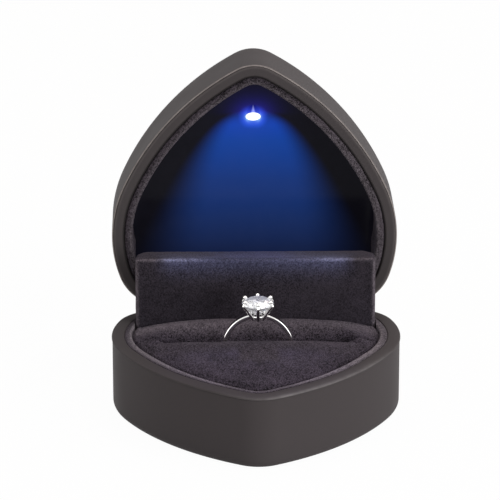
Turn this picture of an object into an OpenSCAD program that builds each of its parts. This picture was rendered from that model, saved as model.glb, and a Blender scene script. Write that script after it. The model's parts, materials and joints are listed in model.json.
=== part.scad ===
// Heart-tipped ring display box with a lamp in its lid, a slotted velvet cushion and a solitaire ring.
// Origin: centre of the flat underside. +Z up, the rounded tip points to -Y, the hinge is at the rear.

/* [Outline seen from above] */
// Width over the rims at the shoulders
box_w = 72; // [66:0.5:80]
// Length from the rounded tip to the flat rear
box_l = 62.4; // [58:0.2:70]
// Radius of the front tip
tip_r = 9.8; // [9.2:0.1:11]
// Radius of the long side curves
side_r = 66.4; // [60:0.4:90]
// Radius of the shoulders at the widest point
shoulder_r = 30; // [25:0.2:32]
// Radius of the rear corners
corner_r = 11.6; // [11:0.1:14]
// Direction in which a shoulder hands over to the rear corner, degrees from +X
corner_from = 21; // [12:1:36]

/* [Shells] */
// Height of the base from its underside to its rim
base_h = 18.4; // [17:0.2:24]
// Depth of the lid from its rim to its top
lid_h = 23.8; // [22.8:0.2:28]
// Wall thickness of both shells, which is the width of the rim faces
wall_t = 3.2; // [2.4:0.1:3.6]
// Thickness of the base floor
floor_t = 1.6; // [1.2:0.1:2.4]
// Thickness of the lid top
top_t = 1.6; // [1:0.1:1.8]
// Rounding where the base wall meets the underside
base_edge_r = 1.8; // [0.8:0.1:3]
// Rounding where the lid wall meets the top
lid_edge_r = 4.8; // [3:0.1:6]
// How far the rim bead stands out from the wall
bead_out = 0.3; // [0.1:0.05:0.5]
// Height of the rim bead
bead_h = 0.9; // [0.5:0.1:1.6]
// Draft: how much a wall leans in over its height
draft_in = 0.1; // [0.05:0.05:0.6]
// Gap between the two rims when the box is shut
seam = 0.2; // [0.1:0.05:0.4]

/* [Velvet liners] */
// Thickness of the velvet lip that lines both walls
liner_t = 2.2; // [1.6:0.1:2.6]
// How far the velvet lips stay below the rims
liner_drop = 0.2; // [0.1:0.05:0.6]
// Rounding of the lip's inner top edge
liner_edge = 1.1; // [0.4:0.1:1.4]

/* [Cushion] */
// Height of the cushion at its shoulder
pad_h = 12; // [11.4:0.1:12.8]
// How far the cushion's shoulder stays below the rim plane
pad_drop = 0.6; // [0.3:0.1:1.2]
// How far the front of the cushion swells above its shoulder
front_crown = 0.8; // [0.4:0.1:1.6]
// How far the rear roll swells above the shoulder
rear_crown = 2.1; // [1:0.1:2.4]
// Rounding of the cushion's outer edge
pad_round = 1.4; // [0.8:0.1:2.4]
// Width of the slot for the ring
slot_w = 2.3; // [2.2:0.1:3]
// Length of the slot from side to side
slot_len = 48; // [36:1:52]
// Distance of the slot's centre from the rear face
slot_y = 21.6; // [20:0.1:26]
// Rounding of the cushion's edge in front of the slot
front_roll = 1; // [0.5:0.1:2]
// Rounding of the rear roll where it falls into the slot
rear_roll = 4.4; // [2:0.1:5]
// Thickness of the velvet over the foam
velvet_t = 1; // [0.6:0.1:1.4]
// Thickness of the card under the cushion
board_t = 1.2; // [0.8:0.1:1.6]
// Clearance left round soft pieces
soft_gap = 0.3; // [0.2:0.05:0.5]

/* [Hinge cover] */
// Distance of the block's ends from the widest line of the box
cover_side = 6; // [5.8:0.1:9]
// Thickness of the block, front to back
cover_t = 6.2; // [5:0.1:7]
// Height of the block above the base rim
cover_top = 17.3; // [15:0.1:17.4]
// Rounding of the block's long top edges
cover_edge = 0.9; // [0.3:0.1:1.4]
// Thickness of the velvet and card that wrap the core
wrap_t = 0.8; // [0.5:0.1:1.2]

/* [Hinge] */
// Angle by which the lid stands open, shut being 0
open_angle = 95; // [90:1:104]
// Length of the hinge barrel
hinge_len = 36; // [28:1:40]
// Number of knuckles along the barrel, odd
knuckles = 5; // [3:2:7]
// Outer radius of the knuckles
knuckle_r = 1.6; // [1.3:0.1:1.8]
// Radius of the hinge pin
pin_r = 0.6; // [0.5:0.05:0.7]
// Radial clearance of the pin in the knuckles
pin_gap = 0.05; // [0.02:0.01:0.1]
// Side gap between neighbouring knuckles
knuckle_gap = 0.2; // [0.1:0.05:0.3]
// How far the hinge axis lies behind the rear face
hinge_out = 0.5; // [0.4:0.1:0.8]
// Thickness of the hinge leaves
leaf_t = 0.8; // [0.5:0.05:0.9]
// Height of each leaf along the rear wall
leaf_h = 9; // [7:0.5:11]
// Spacing of the two screws in each leaf
leaf_screws = 24; // [16:1:28]
// Clearance round the hinge where it passes the shells
hinge_gap = 0.25; // [0.15:0.05:0.4]

/* [Lamp and switch] */
// Depth of the glossy ceiling plate below the lid rim
plate_z = 18; // [17.8:0.1:18.4]
// Thickness of the ceiling plate
plate_t = 1.2; // [0.8:0.1:1.4]
// Distance of the lamp from the rear face
lamp_y = 45.2; // [40:0.2:48]
// Radius of the lamp
lamp_r = 1.8; // [1.5:0.1:2.2]
// Height of the lamp's domed face
lamp_dome = 0.6; // [0.3:0.1:1.2]
// Angle between the lamp's beam and the plate
lamp_lean = 45; // [35:1:60]
// Radius of the button cell
cell_r = 10; // [8:0.5:10.2]
// Thickness of the button cell
cell_t = 1.6; // [1.2:0.1:1.8]
// Distance of the cell's centre from the rear face
cell_y = 27; // [24:0.5:30]
// Width of the circuit board
pcb_w = 26; // [23:0.5:30]
// Thickness of the circuit board
pcb_t = 0.8; // [0.6:0.1:1]
// Side of the square switch body
switch_w = 5; // [4:0.5:6]
// Radius of the switch plunger
plunger_r = 1; // [0.7:0.1:1.4]
// Travel of the switch plunger
plunger_travel = 0.8; // [0.4:0.1:1]
// Distance of the switch from the rear face
switch_y = 8; // [7:0.2:9]

/* [Ring] */
// Inner radius of the ring band
band_in_r = 7.9; // [7:0.1:8.2]
// Radial thickness of the band
band_t = 1; // [0.8:0.1:1.4]
// Width of the band across the slot
band_w = 1.7; // [1.2:0.1:1.8]
// Height of the band's centre below the rim plane
band_drop = 1.8; // [1.4:0.1:2.4]
// Radius of the round stone at its girdle
stone_r = 3.8; // [3:0.1:4]
// Height of the girdle above the top of the band
girdle_up = 2.7; // [2.6:0.1:4]
// Radius of the collar that the prongs grow from
collar_r = 1.9; // [1.5:0.1:2.2]
// Number of prongs
prongs = 6; // [4:1:8]
// Radius of a prong
prong_r = 0.42; // [0.3:0.02:0.6]

/* [Hidden] */

$fn = 48;
eps = 0.01;
// Largest turn between two points of an outline, degrees
arc_step = 4;
// Fit left between pieces of one half that are pushed together
fit = 0.1;

// The outline is a chain of tangent arcs, so an inset only shortens their radii.
shoulder_c = [box_w/2 - shoulder_r, -corner_r - (shoulder_r - corner_r)*sin(corner_from)];
corner_c = shoulder_c + (shoulder_r - corner_r)*[cos(corner_from), sin(corner_from)];
tip_c = [0, -box_l + tip_r];
// The side arc touches the tip and shoulder arcs from outside: its centre closes a triangle with theirs.
side_span = shoulder_c - tip_c;
side_d = norm(side_span);
side_a = side_r - tip_r;
side_b = side_r - shoulder_r;
side_along = (side_a*side_a - side_b*side_b + side_d*side_d)/(2*side_d);
side_off = sqrt(side_a*side_a - side_along*side_along);
side_u = side_span/side_d;
side_c = tip_c + side_u*side_along + [-side_u[1], side_u[0]]*side_off;
tip_to = atan2(tip_c[1] - side_c[1], tip_c[0] - side_c[0]);
side_to = atan2(shoulder_c[1] - side_c[1], shoulder_c[0] - side_c[0]);

wall_in = bead_out + draft_in;
liner_in = wall_t + liner_t;
pad_in = liner_in + soft_gap;
pad_edge = min(pad_round, tip_r - pad_in - velvet_t - fit);
pad_top = -pad_drop;
pad_bottom = pad_top - pad_h;
axis_y = box_l/2 + hinge_out;
axis_z = base_h + seam/2;
cavity_d = base_h - floor_t;
plate_back = plate_z + plate_t;
lid_room = lid_h - top_t;
leaf_y = wall_t + fit/2;
cover_y = leaf_y + leaf_t + soft_gap + fit;
cover_front = cover_y + cover_t;
pad_rear_y = cover_front + soft_gap;
cover_w = box_w - 2*cover_side;
knuckle_pitch = hinge_len/knuckles;
leaf_side = hinge_len - 2*knuckle_pitch/3;
pin_head_h = 0.4;
pin_head_r = pin_r + 0.35;
notch_w = hinge_len + 2*(pin_head_h + 2*hinge_gap);
screw_r = 0.7;
screw_head_r = 1.3;
screw_head_h = 0.5;
// Skin of the shell left in front of a screw's point
screw_skin = 0.7;
screw_len = wall_t - screw_skin;
leaf_screw_z = leaf_h*0.62;
// Step inside the lid wall on which the ceiling plate rests
ledge = 1.5;
lamp_out = 0.9;
lamp_back = 1;
lamp_foot_h = 0.6;
pcb_z = plate_back + fit;
pcb_front = lamp_y - 4;
pcb_rear = wall_t + ledge + fit;
contact_t = 0.35;
contact_r = 4;
cell_z = plate_back + contact_t;
// Height of the stepped rim round the cell's negative side
cell_step = 0.25;
clip_w = 5;
clip_t = 0.25;
resistor_size = [3, 1.6, 0.6];
plunger_tip = cover_top - seam + soft_gap/2 + fit;
band_out_r = band_in_r + band_t;
girdle_z = band_out_r + girdle_up;
collar_h = band_t*0.8;
stone_depth = stone_r*0.78;
stone_crown = stone_r*0.3;
stone_table = stone_r*0.58;

// ---- Shape helpers ----

// Points of one arc, without its last point.
function arc(c, r, from, to) =
    let (n = max(1, ceil((to - from)/arc_step)))
    [for (i = [0:n - 1]) let (a = from + (to - from)*i/n) c + r*[cos(a), sin(a)]];

// Right half of the outline, from the tip to the rear, inset by t. The rear face lies at y = 0.
function half_outline(t) = concat(
    arc(tip_c, tip_r - t, -90, tip_to),
    arc(side_c, side_r - t, tip_to, side_to),
    arc(shoulder_c, shoulder_r - t, side_to, corner_from),
    arc(corner_c, corner_r - t, corner_from, 90),
    [corner_c + [0, corner_r - t]]);

// The whole closed outline: the right half and its mirror image, which leaves out the tip point.
function outline(t) =
    let (half = half_outline(t), n = len(half))
    concat(half, [for (i = [n - 1:-1:1]) [-half[i][0], half[i][1]]]);

// Solid through stacked rings of equally many points, from low to high.
module skin(rings) {
    n = len(rings[0]);
    top = len(rings) - 1;
    sides = [for (k = [0:top - 1]) for (i = [0:n - 1])
        let (j = (i + 1) % n) [k*n + i, k*n + n + i, k*n + n + j, k*n + j]];
    polyhedron([for (ring = rings) each ring],
        concat([[for (i = [0:n - 1]) i]], sides, [[for (i = [n - 1:-1:0]) top*n + i]]),
        convexity = 4);
}

// Outline inset by t, lifted to height z and shrunk by k towards a centre on the long axis.
function ring_at(t, z, k = 1, centre_y = 0) =
    [for (p = outline(t)) [p[0]*k, centre_y + (p[1] - centre_y)*k, z]];

// Solid through stacked outlines. Each level is [inset, z], from low to high.
module loft(levels) {
    skin([for (l = levels) ring_at(l[0], l[1])]);
}

// Flat slab of the outline, inset by t, from z0 to z1.
module slab(t, z0, z1) {
    translate([0, 0, z0])
        linear_extrude(z1 - z0)
            polygon(outline(t));
}

// Block between two y values measured forward from the rear face, and two z values.
module bar(w, y0, y1, z0, z1) {
    translate([-w/2, -y1, z0])
        cube([w, y1 - y0, z1 - z0]);
}

// Profile in Y and Z, drawn as [y, z], stretched over a width w along X.
module across(w) {
    translate([-w/2, 0, 0])
        rotate([90, 0, 90])
            linear_extrude(w)
                children();
}

// Places pieces of the base: rear face at y = 0, rim at z = 0.
module in_base() {
    translate([0, box_l/2, base_h])
        children();
}

// Places pieces of the lid, drawn shut with z = 0 at its rim, into its open pose.
module in_lid() {
    translate([0, axis_y, axis_z])
        rotate([-open_angle, 0, 0])
            translate([0, -hinge_out, seam/2])
                children();
}

// Outer form of a shell that stands on its flat side, height h, edge rounding r.
module shell_body(h, r) {
    turns = [0:22.5:90];
    loft(concat(
        [for (a = turns) [wall_in + r*(1 - sin(a)), r*(1 - cos(a))]],
        [[bead_out, h - bead_h - bead_out],
         [0, h - bead_h],
         [0, h - bead_out],
         [bead_out/2, h]]));
}

// Cut for the hinge through the rear wall, below a rim at z = 0.
module hinge_notch() {
    bar(notch_w, -wall_t, leaf_y + leaf_t + fit, -knuckle_r - hinge_gap + seam/2, 1);
}

// Holes for the two screws of a leaf, below a rim at z = 0.
module leaf_screw_holes() {
    for (s = [-1, 1])
        translate([s*leaf_screws/2, -wall_t - 1, -leaf_screw_z])
            rotate([-90, 0, 0])
                cylinder(r = screw_r, h = screw_len + 1);
}

// ---- Base ----

module base_shell() {
    color("#4a4544") in_base()
        difference() {
            translate([0, 0, -base_h]) shell_body(base_h, base_edge_r);
            slab(wall_t, -cavity_d, 1);
            hinge_notch();
            leaf_screw_holes();
        }
}

// Velvet lip of either half: a band inside the wall, rounded at the rim and open at the hinge.
// z = 0 at the rim, the band reaches down to -depth.
module liner(depth) {
    flare = [0:30:90];
    low = -liner_drop - liner_edge;
    difference() {
        slab(wall_t + fit, -depth, -liner_drop);
        loft(concat([[liner_in, -depth - 1], [liner_in, low]],
            [for (a = flare) [liner_in - liner_edge*(1 - cos(a)), low + liner_edge*sin(a)]],
            [[liner_in - liner_edge, 1]]));
        bar(cover_w + 2*soft_gap, -1, slot_y, -depth - 1, 1);
    }
}

module base_liner() {
    color("#3a3440") in_base()
        liner(cavity_d - fit);
}

// Whole cushion body: rounded edge and a crown that peaks at peak_y.
module cushion_body(crown, peak_y) {
    turns = [0:22.5:90];
    shrink = [0.82:-0.18:0.1];
    skin(concat(
        [ring_at(pad_in, pad_bottom)],
        [for (a = turns) ring_at(pad_in + pad_edge*(1 - cos(a)), pad_top - pad_edge*(1 - sin(a)))],
        [for (k = shrink) ring_at(pad_in + pad_edge, pad_top + crown*(1 - k*k), k, -peak_y)]));
}

// Side view of the cushion between two y values, with its upper corners rounded.
module roll_profile(y0, y1, r0, r1, crest) {
    low = pad_bottom - 1;
    intersection() {
        union() {
            translate([-y1 + r1, low]) square([y1 - y0 - r1 - r0, crest + 1 - low]);
            roll_corner(-y0 - r0, r0, low, crest);
            roll_corner(-y1 + r1, r1, low, crest);
        }
        translate([-y1, low]) square([y1 - y0, crest + 2 - low]);
    }
}

// Rounded corner of that side view, about a centre at y, and the post under it.
module roll_corner(y, r, low, crest) {
    if (r > 0) {
        translate([y - r, low]) square([2*r, crest - r - low]);
        translate([y, crest - r]) circle(r);
    }
}

// Side view of the part in front of the slot, t inside its surface.
module front_profile(t) {
    roll_profile(slot_y + slot_w/2 + t, box_l, front_roll, 0, pad_top + front_crown - t);
}

// Side view of the rear roll, t inside its surface.
module rear_profile(t) {
    roll_profile(pad_rear_y + t, slot_y - slot_w/2 - t, cover_edge, rear_roll,
        pad_top + rear_crown - t);
}

// Space t inside the cushion's surface: one part in front of the slot and one behind it.
module cushion_cores(t, low) {
    intersection() {
        slab(pad_in + t, low, pad_top - t);
        across(box_w) {
            front_profile(t);
            rear_profile(t);
        }
    }
}

// Velvet cover, with bridges that join its front and its rear roll at the ends of the slot.
module ring_cushion() {
    color("#403a46") in_base()
        difference() {
            union() {
                intersection() {
                    cushion_body(front_crown, slot_y + 4);
                    across(box_w) front_profile(0);
                }
                intersection() {
                    cushion_body(rear_crown, pad_rear_y + 2);
                    across(box_w) rear_profile(0);
                }
                intersection() {
                    slab(pad_in, pad_bottom, pad_top - pad_edge);
                    for (s = [-1, 1])
                        translate([s*(slot_len + box_w)/4, -slot_y, pad_top])
                            cube([(box_w - slot_len)/2, slot_w + 4, 2*pad_h + 2], center = true);
                }
            }
            cushion_cores(velvet_t, pad_bottom - 1);
        }
}

module cushion_foam() {
    color("#6a6a6c") in_base()
        cushion_cores(velvet_t + fit/2, pad_bottom);
}

// Card under the cushion.
module pad_board() {
    color("#2b2b2d") in_base()
        difference() {
            slab(pad_in, pad_bottom - board_t, pad_bottom);
            bar(box_w, -1, pad_rear_y, pad_bottom - board_t - 1, pad_bottom + 1);
        }
}

// Foam riser between the card and the floor.
module pad_spacer() {
    top = pad_bottom - board_t;
    color("#6a6a6c") in_base()
        difference() {
            slab(pad_in + 1.5, -cavity_d, top);
            bar(box_w, -1, pad_rear_y, -cavity_d - 1, top + 1);
        }
}

// ---- Hinge cover ----

// Plan of the block: straight front and sides, rear corners that follow the shells.
module cover_plan(t) {
    intersection() {
        polygon(outline(wall_t + soft_gap + t));
        translate([-cover_w/2 + t, -cover_front + t])
            square([cover_w - 2*t, cover_t - 2*t]);
    }
}

// Block with rounded long edges at its top, t inside its surface.
module cover_block(t) {
    r = max(cover_edge - t, fit);
    intersection() {
        translate([0, 0, -cavity_d])
            linear_extrude(cavity_d + cover_top - t) cover_plan(t);
        across(box_w) {
            translate([-cover_front + t, -cavity_d - 1])
                square([cover_t - 2*t, cavity_d + 1 + cover_top - t - r]);
            translate([-cover_front + t + r, -cavity_d - 1])
                square([cover_t - 2*t - 2*r, cavity_d + 1 + cover_top - t]);
            for (y = [-cover_front + t + r, -cover_y - t - r])
                translate([y, cover_top - t - r]) circle(r);
        }
    }
}

module hinge_cover() {
    color("#352f3a") in_base()
        difference() {
            cover_block(0);
            translate([0, 0, -eps]) cover_block(wrap_t);
        }
}

module cover_core() {
    color("#7a7a7c") in_base()
        cover_block(wrap_t + fit);
}

// ---- Hinge ----

// Knuckles whose number is even (part 0) or odd (part 1), grown by g. The axis is X.
module knuckle_row(part, g) {
    for (k = [part:2:knuckles - 1])
        translate([-hinge_len/2 + k*knuckle_pitch + knuckle_gap/2 - g, 0, 0])
            rotate([0, 90, 0])
                cylinder(r = knuckle_r + g, h = knuckle_pitch - knuckle_gap + 2*g);
}

// Cranked leaf below its axis: it leaves the knuckles inwards and turns down the rear wall.
module leaf(part) {
    y_in = hinge_out + leaf_y;
    difference() {
        union() {
            knuckle_row(part, 0);
            bar(hinge_len - knuckle_gap, 0, y_in + leaf_t, -knuckle_r, -knuckle_r + leaf_t);
            bar(leaf_side, y_in, y_in + leaf_t, -leaf_h, -knuckle_r + leaf_t);
        }
        knuckle_row(1 - part, hinge_gap);
        translate([-hinge_len/2 - 1, 0, 0])
            rotate([0, 90, 0]) cylinder(r = pin_r + pin_gap, h = hinge_len + 2);
        for (s = [-1, 1])
            translate([s*leaf_screws/2, -y_in - leaf_t, -leaf_screw_z - seam/2])
                rotate([-90, 0, 0]) {
                    translate([0, 0, -1]) cylinder(r = screw_r + fit/2, h = leaf_t + 2);
                    translate([0, 0, -eps])
                        cylinder(r1 = screw_head_r + fit/2, r2 = screw_r + fit/2, h = screw_head_h);
                }
    }
}

// The two countersunk screws of a leaf, below a rim at z = 0.
module leaf_screw_pair() {
    for (s = [-1, 1])
        translate([s*leaf_screws/2, -leaf_y - leaf_t, -leaf_screw_z])
            rotate([-90, 0, 0]) {
                cylinder(r1 = screw_head_r, r2 = screw_r, h = screw_head_h);
                cylinder(r = screw_r - fit/4, h = leaf_t + screw_len - fit);
            }
}

module base_hinge_leaf() {
    color("#c0c0c4") translate([0, axis_y, axis_z])
        leaf(0);
}

module lid_hinge_leaf() {
    color("#c0c0c4") translate([0, axis_y, axis_z])
        rotate([-open_angle, 0, 0])
            mirror([0, 0, 1]) leaf(1);
}

module hinge_pin() {
    color("#d2d2d6") translate([-hinge_len/2, axis_y, axis_z])
        rotate([0, 90, 0]) {
            cylinder(r = pin_r, h = hinge_len);
            for (x = [-pin_head_h, hinge_len])
                translate([0, 0, x]) cylinder(r = pin_head_r, h = pin_head_h);
        }
}

module base_leaf_screws() {
    color("#b8b8bc") in_base()
        leaf_screw_pair();
}

module lid_leaf_screws() {
    color("#b8b8bc") in_lid()
        mirror([0, 0, 1]) leaf_screw_pair();
}

// ---- Lid ----

module lid_shell() {
    color("#4a4544") in_lid()
        difference() {
            mirror([0, 0, 1]) translate([0, 0, -lid_h]) shell_body(lid_h, lid_edge_r);
            slab(wall_t, -1, plate_back);
            slab(wall_t + ledge, 0, lid_room);
            mirror([0, 0, 1]) {
                hinge_notch();
                leaf_screw_holes();
            }
        }
}

module lid_liner() {
    color("#3a3440") in_lid()
        mirror([0, 0, 1]) liner(plate_z - fit);
}

// Pose of the lamp: its base in the plate, its dome leaning out towards the hinge.
module at_lamp() {
    translate([0, -lamp_y, plate_z])
        rotate([-90 - lamp_lean, 0, 0])
            children();
}

// Glossy plate behind which the electronics lie.
module ceiling_plate() {
    color("#0c0d14") in_lid()
        difference() {
            slab(wall_t + fit, plate_z, plate_back);
            at_lamp() cylinder(r = lamp_r + fit, h = 12, center = true);
            translate([0, -switch_y, plate_z - 1]) cylinder(r = plunger_r + fit, h = plate_t + 2);
        }
}

// Lamp with a low dome at its face and a narrower foot behind.
module lamp() {
    dome_r = (lamp_r*lamp_r + lamp_dome*lamp_dome)/(2*lamp_dome);
    color("#eef4ff") in_lid() at_lamp() {
        translate([0, 0, -lamp_back]) cylinder(r = lamp_r, h = lamp_back + lamp_out);
        intersection() {
            translate([0, 0, lamp_out + lamp_dome - dome_r]) sphere(dome_r);
            translate([0, 0, lamp_out]) cylinder(r = lamp_r, h = lamp_dome + 1);
        }
        translate([0, 0, -lamp_back - lamp_foot_h]) cylinder(r = lamp_r*0.6, h = lamp_foot_h);
    }
}

// Two legs from the lamp's foot to the level of the circuit board.
module lamp_leads() {
    leg_h = 1;
    color("#c8c8cc") in_lid() at_lamp()
        for (s = [-1, 1])
            translate([s*lamp_r/3, 0, -lamp_back - lamp_foot_h - leg_h]) cylinder(r = 0.2, h = leg_h);
}

// Board with a round window for the button cell.
module circuit_board() {
    color("#1f5a35") in_lid()
        difference() {
            bar(pcb_w, pcb_rear, pcb_front, pcb_z, pcb_z + pcb_t);
            translate([0, -cell_y, pcb_z - 1]) cylinder(r = cell_r + 0.3, h = pcb_t + 2);
            translate([0, -switch_y, pcb_z - 1]) cylinder(r = plunger_r + 0.2, h = pcb_t + 2);
            board_screw_places() translate([0, 0, -1]) cylinder(r = screw_r + fit, h = pcb_t + 2);
        }
}

module board_screw_places() {
    for (s = [-1, 1])
        translate([s*(pcb_w/2 - 2), -pcb_front + 2, pcb_z])
            children();
}

module board_screws() {
    color("#b8b8bc") in_lid()
        board_screw_places() {
            translate([0, 0, pcb_t]) cylinder(r = screw_head_r, h = screw_head_h);
            cylinder(r = screw_r, h = pcb_t);
        }
}

module resistor() {
    color("#20242c") in_lid()
        translate([0, -(lamp_y + cell_y + cell_r)/2, pcb_z + pcb_t + resistor_size[2]/2])
            cube(resistor_size, center = true);
}

module battery_cell() {
    color("#d0d0d2") in_lid()
        translate([0, -cell_y, cell_z]) {
            cylinder(r = cell_r*0.86, h = cell_step);
            translate([0, 0, cell_step]) cylinder(r = cell_r, h = cell_t - cell_step);
        }
}

// Spring strap over the cell, with a foot on the board at each side.
module battery_clip() {
    span = 2*cell_r + 3;
    top = cell_z + cell_t;
    color("#b08d3c") in_lid()
        for (s = [-1, 1]) {
            bar(span, cell_y - clip_w/2, cell_y + clip_w/2, top, top + clip_t);
            translate([s*(span - clip_t)/2, 0, 0])
                bar(clip_t, cell_y - clip_w/2, cell_y + clip_w/2, pcb_z + pcb_t, top + clip_t);
        }
}

// Thin contact under the cell.
module battery_contact() {
    color("#b08d3c") in_lid()
        translate([0, -cell_y, plate_back]) cylinder(r = contact_r, h = contact_t);
}

module switch_body() {
    color("#26262a") in_lid()
        difference() {
            bar(switch_w, switch_y - switch_w/2, switch_y + switch_w/2, pcb_z + pcb_t, lid_room - fit);
            translate([0, -switch_y, pcb_z]) cylinder(r = plunger_r + fit, h = pcb_t + 1 + plunger_travel);
        }
}

// Plunger, pushed in by the top of the hinge cover when the lid shuts.
module switch_plunger() {
    tip = plunger_tip - plunger_travel;
    color("#e8e8ea") in_lid()
        translate([0, -switch_y, tip]) {
            translate([0, 0, plunger_r/2]) cylinder(r = plunger_r, h = pcb_z + pcb_t - tip - plunger_r/2);
            cylinder(r1 = plunger_r*0.6, r2 = plunger_r, h = plunger_r/2);
        }
}

// ---- Ring ----

// Places ring pieces: band centre at the origin, standing in the slot.
module in_slot() {
    in_base()
        translate([0, -slot_y, -band_drop])
            children();
}

// Band with a flat inside and a rounded outside, open at the top for the collar.
module ring_band() {
    color("#d6d4d6") in_slot()
        difference() {
            rotate([90, 0, 0])
                rotate_extrude()
                    intersection() {
                        translate([band_in_r, -band_w/2]) square([band_t, band_w]);
                        translate([band_out_r - band_w*0.62, 0]) circle(band_w*0.62);
                    }
            cylinder(r = collar_r + fit/2, h = 2*band_out_r);
            prong_row(fit/2);
        }
}

// Prongs that rise from the collar in a V, grown by g.
module prong_row(g) {
    foot = [collar_r - prong_r, band_in_r + collar_h - prong_r];
    grip = [stone_r + prong_r*0.8, girdle_z + prong_r/2];
    lean = atan2(grip[0] - foot[0], grip[1] - foot[1]);
    rise = norm(grip - foot);
    for (k = [0:prongs - 1])
        rotate([0, 0, (k + 0.5)*360/prongs])
            translate([foot[0], 0, foot[1]])
                rotate([0, lean, 0]) {
                    cylinder(r = prong_r + g, h = rise, $fn = 16);
                    translate([0, 0, rise]) sphere(prong_r*1.2 + g, $fn = 16);
                }
}

// Collar in the gap of the band, with prongs that are notched for the stone.
module ring_setting() {
    color("#d6d4d6") in_slot()
        difference() {
            union() {
                prong_row(0);
                translate([0, 0, band_in_r]) cylinder(r = collar_r, h = collar_h);
            }
            cylinder(r = collar_r - 2*prong_r, h = 2*band_out_r);
            stone(fit/4);
        }
}

// Round brilliant, grown by g: pavilion, girdle and crown.
module stone(g) {
    translate([0, 0, girdle_z]) {
        translate([0, 0, -stone_depth - g])
            cylinder(r1 = 0.05, r2 = stone_r + g, h = stone_depth + g, $fn = 12);
        cylinder(r1 = stone_r + g, r2 = stone_table + g, h = stone_crown + g, $fn = 12);
    }
}

module ring_stone() {
    color("#eaf0ff") in_slot()
        stone(0);
}

base_shell();
base_liner();
ring_cushion();
cushion_foam();
pad_board();
pad_spacer();
hinge_cover();
cover_core();
base_hinge_leaf();
hinge_pin();
base_leaf_screws();
lid_shell();
lid_liner();
ceiling_plate();
lamp();
lamp_leads();
circuit_board();
resistor();
board_screws();
battery_cell();
battery_clip();
battery_contact();
switch_body();
switch_plunger();
lid_hinge_leaf();
lid_leaf_screws();
ring_band();
ring_setting();
ring_stone();
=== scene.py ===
"""Dresses the ring display box: shells, velvet, glossy ceiling, lamp, ring and the small works inside.

Sizes are in millimetres in the classes below and become metres when a mesh is made. The base is
drawn with its rear face at y = 0 and its rim at z = 0, the lid shut on the same rim plane, and
BASE_PLACE and LID_PLACE carry both into the row frame.
"""

from __future__ import annotations

import json
import logging
import math
from dataclasses import dataclass
from enum import Enum
from typing import Sequence

import bmesh
import bpy
import numpy as np
from mathutils import Matrix, Vector, noise
from mathutils.kdtree import KDTree

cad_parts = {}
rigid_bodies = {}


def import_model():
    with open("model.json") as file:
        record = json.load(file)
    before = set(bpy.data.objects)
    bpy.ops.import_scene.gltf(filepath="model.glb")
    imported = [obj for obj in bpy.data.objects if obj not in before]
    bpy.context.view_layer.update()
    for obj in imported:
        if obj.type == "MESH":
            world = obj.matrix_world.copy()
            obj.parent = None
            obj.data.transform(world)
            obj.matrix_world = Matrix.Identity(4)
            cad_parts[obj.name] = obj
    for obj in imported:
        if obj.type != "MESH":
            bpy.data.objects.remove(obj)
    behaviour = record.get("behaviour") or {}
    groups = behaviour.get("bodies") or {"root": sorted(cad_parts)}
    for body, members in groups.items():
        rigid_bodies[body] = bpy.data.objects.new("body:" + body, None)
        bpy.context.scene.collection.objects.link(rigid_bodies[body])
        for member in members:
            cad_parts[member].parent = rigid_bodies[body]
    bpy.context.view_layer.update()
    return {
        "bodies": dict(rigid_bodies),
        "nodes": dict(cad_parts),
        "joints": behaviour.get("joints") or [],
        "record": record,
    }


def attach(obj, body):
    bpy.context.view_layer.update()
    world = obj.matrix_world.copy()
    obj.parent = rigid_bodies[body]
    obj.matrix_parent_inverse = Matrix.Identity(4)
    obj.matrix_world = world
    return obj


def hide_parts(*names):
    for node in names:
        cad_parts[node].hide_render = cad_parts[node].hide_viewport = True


LOG = logging.getLogger("ring_box")

MM = 0.001
OPEN_ANGLE = 95.0
HINGE_AXIS = Vector((0.0, 31.7, 18.5)) * MM
BASE_PLACE = Matrix.Translation(Vector((0.0, 31.2, 18.4)) * MM)
LID_PLACE = (
    Matrix.Translation(HINGE_AXIS)
    @ Matrix.Rotation(math.radians(-OPEN_ANGLE), 4, "X")
    @ Matrix.Translation(Vector((0.0, -0.5, 0.1)) * MM)
)
EDGE_STEP = 0.3
BATCH = 4000
BLACK, WHITE = (0.0, 0.0, 0.0), (1.0, 1.0, 1.0)

Colour = tuple[float, float, float]
Socket = bpy.types.NodeSocket
Thing = bpy.types.Object
Mesh = bpy.types.Mesh
Material = bpy.types.Material


class Body(Enum):
    """The bodies that pieces ride on."""

    BASE = "base"
    LID = "lid"
    RING = "ring"


class Slot(Enum):
    """The record's material slots."""

    SHELL = "shell"
    LIP = "velvet_lip"
    CUSHION = "velvet_cushion"
    COVER = "velvet_cover"
    LAMP = "lamp"
    METAL = "ring_metal"
    STONE = "stone"


class RimEdge(Enum):
    """How the rim's outer edge meets the wall."""

    PROUD = "the bead stands out over the wall, with a groove under it"
    SUNK = "the bead stands inside the wall's rounded edge, with a groove between"


@dataclass(frozen=True)
class Half:
    """One half of the box: its body, its place, and up.

    up is 1 for the half that is hollow from above and -1 for the one that is hollow from below.
    """

    body: Body
    place: Matrix
    up: float


BASE, LID = Half(Body.BASE, BASE_PLACE, 1.0), Half(Body.LID, LID_PLACE, -1.0)


# ---------------------------------------------------------------------------------------------
# Meshes


def smooth(x: np.ndarray | float, low: float, high: float) -> np.ndarray:
    """Smooth step of x from 0 at low to 1 at high."""
    t = np.clip((np.asarray(x, float) - low) / (high - low), 0.0, 1.0)
    return t * t * (3.0 - 2.0 * t)


def fade(x: np.ndarray | float, low: float, high: float) -> np.ndarray:
    """Smooth step of x from 1 at low to 0 at high."""
    return 1.0 - smooth(x, low, high)


def bell(off: np.ndarray, width: float) -> np.ndarray:
    """1 where off is 0, and next to nothing past two widths."""
    return np.exp(-((off / width) ** 2))


def quarter(steps: int) -> list[float]:
    """Angles from 0 to a right angle."""
    return [math.pi / 2 * i / steps for i in range(steps + 1)]


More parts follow.
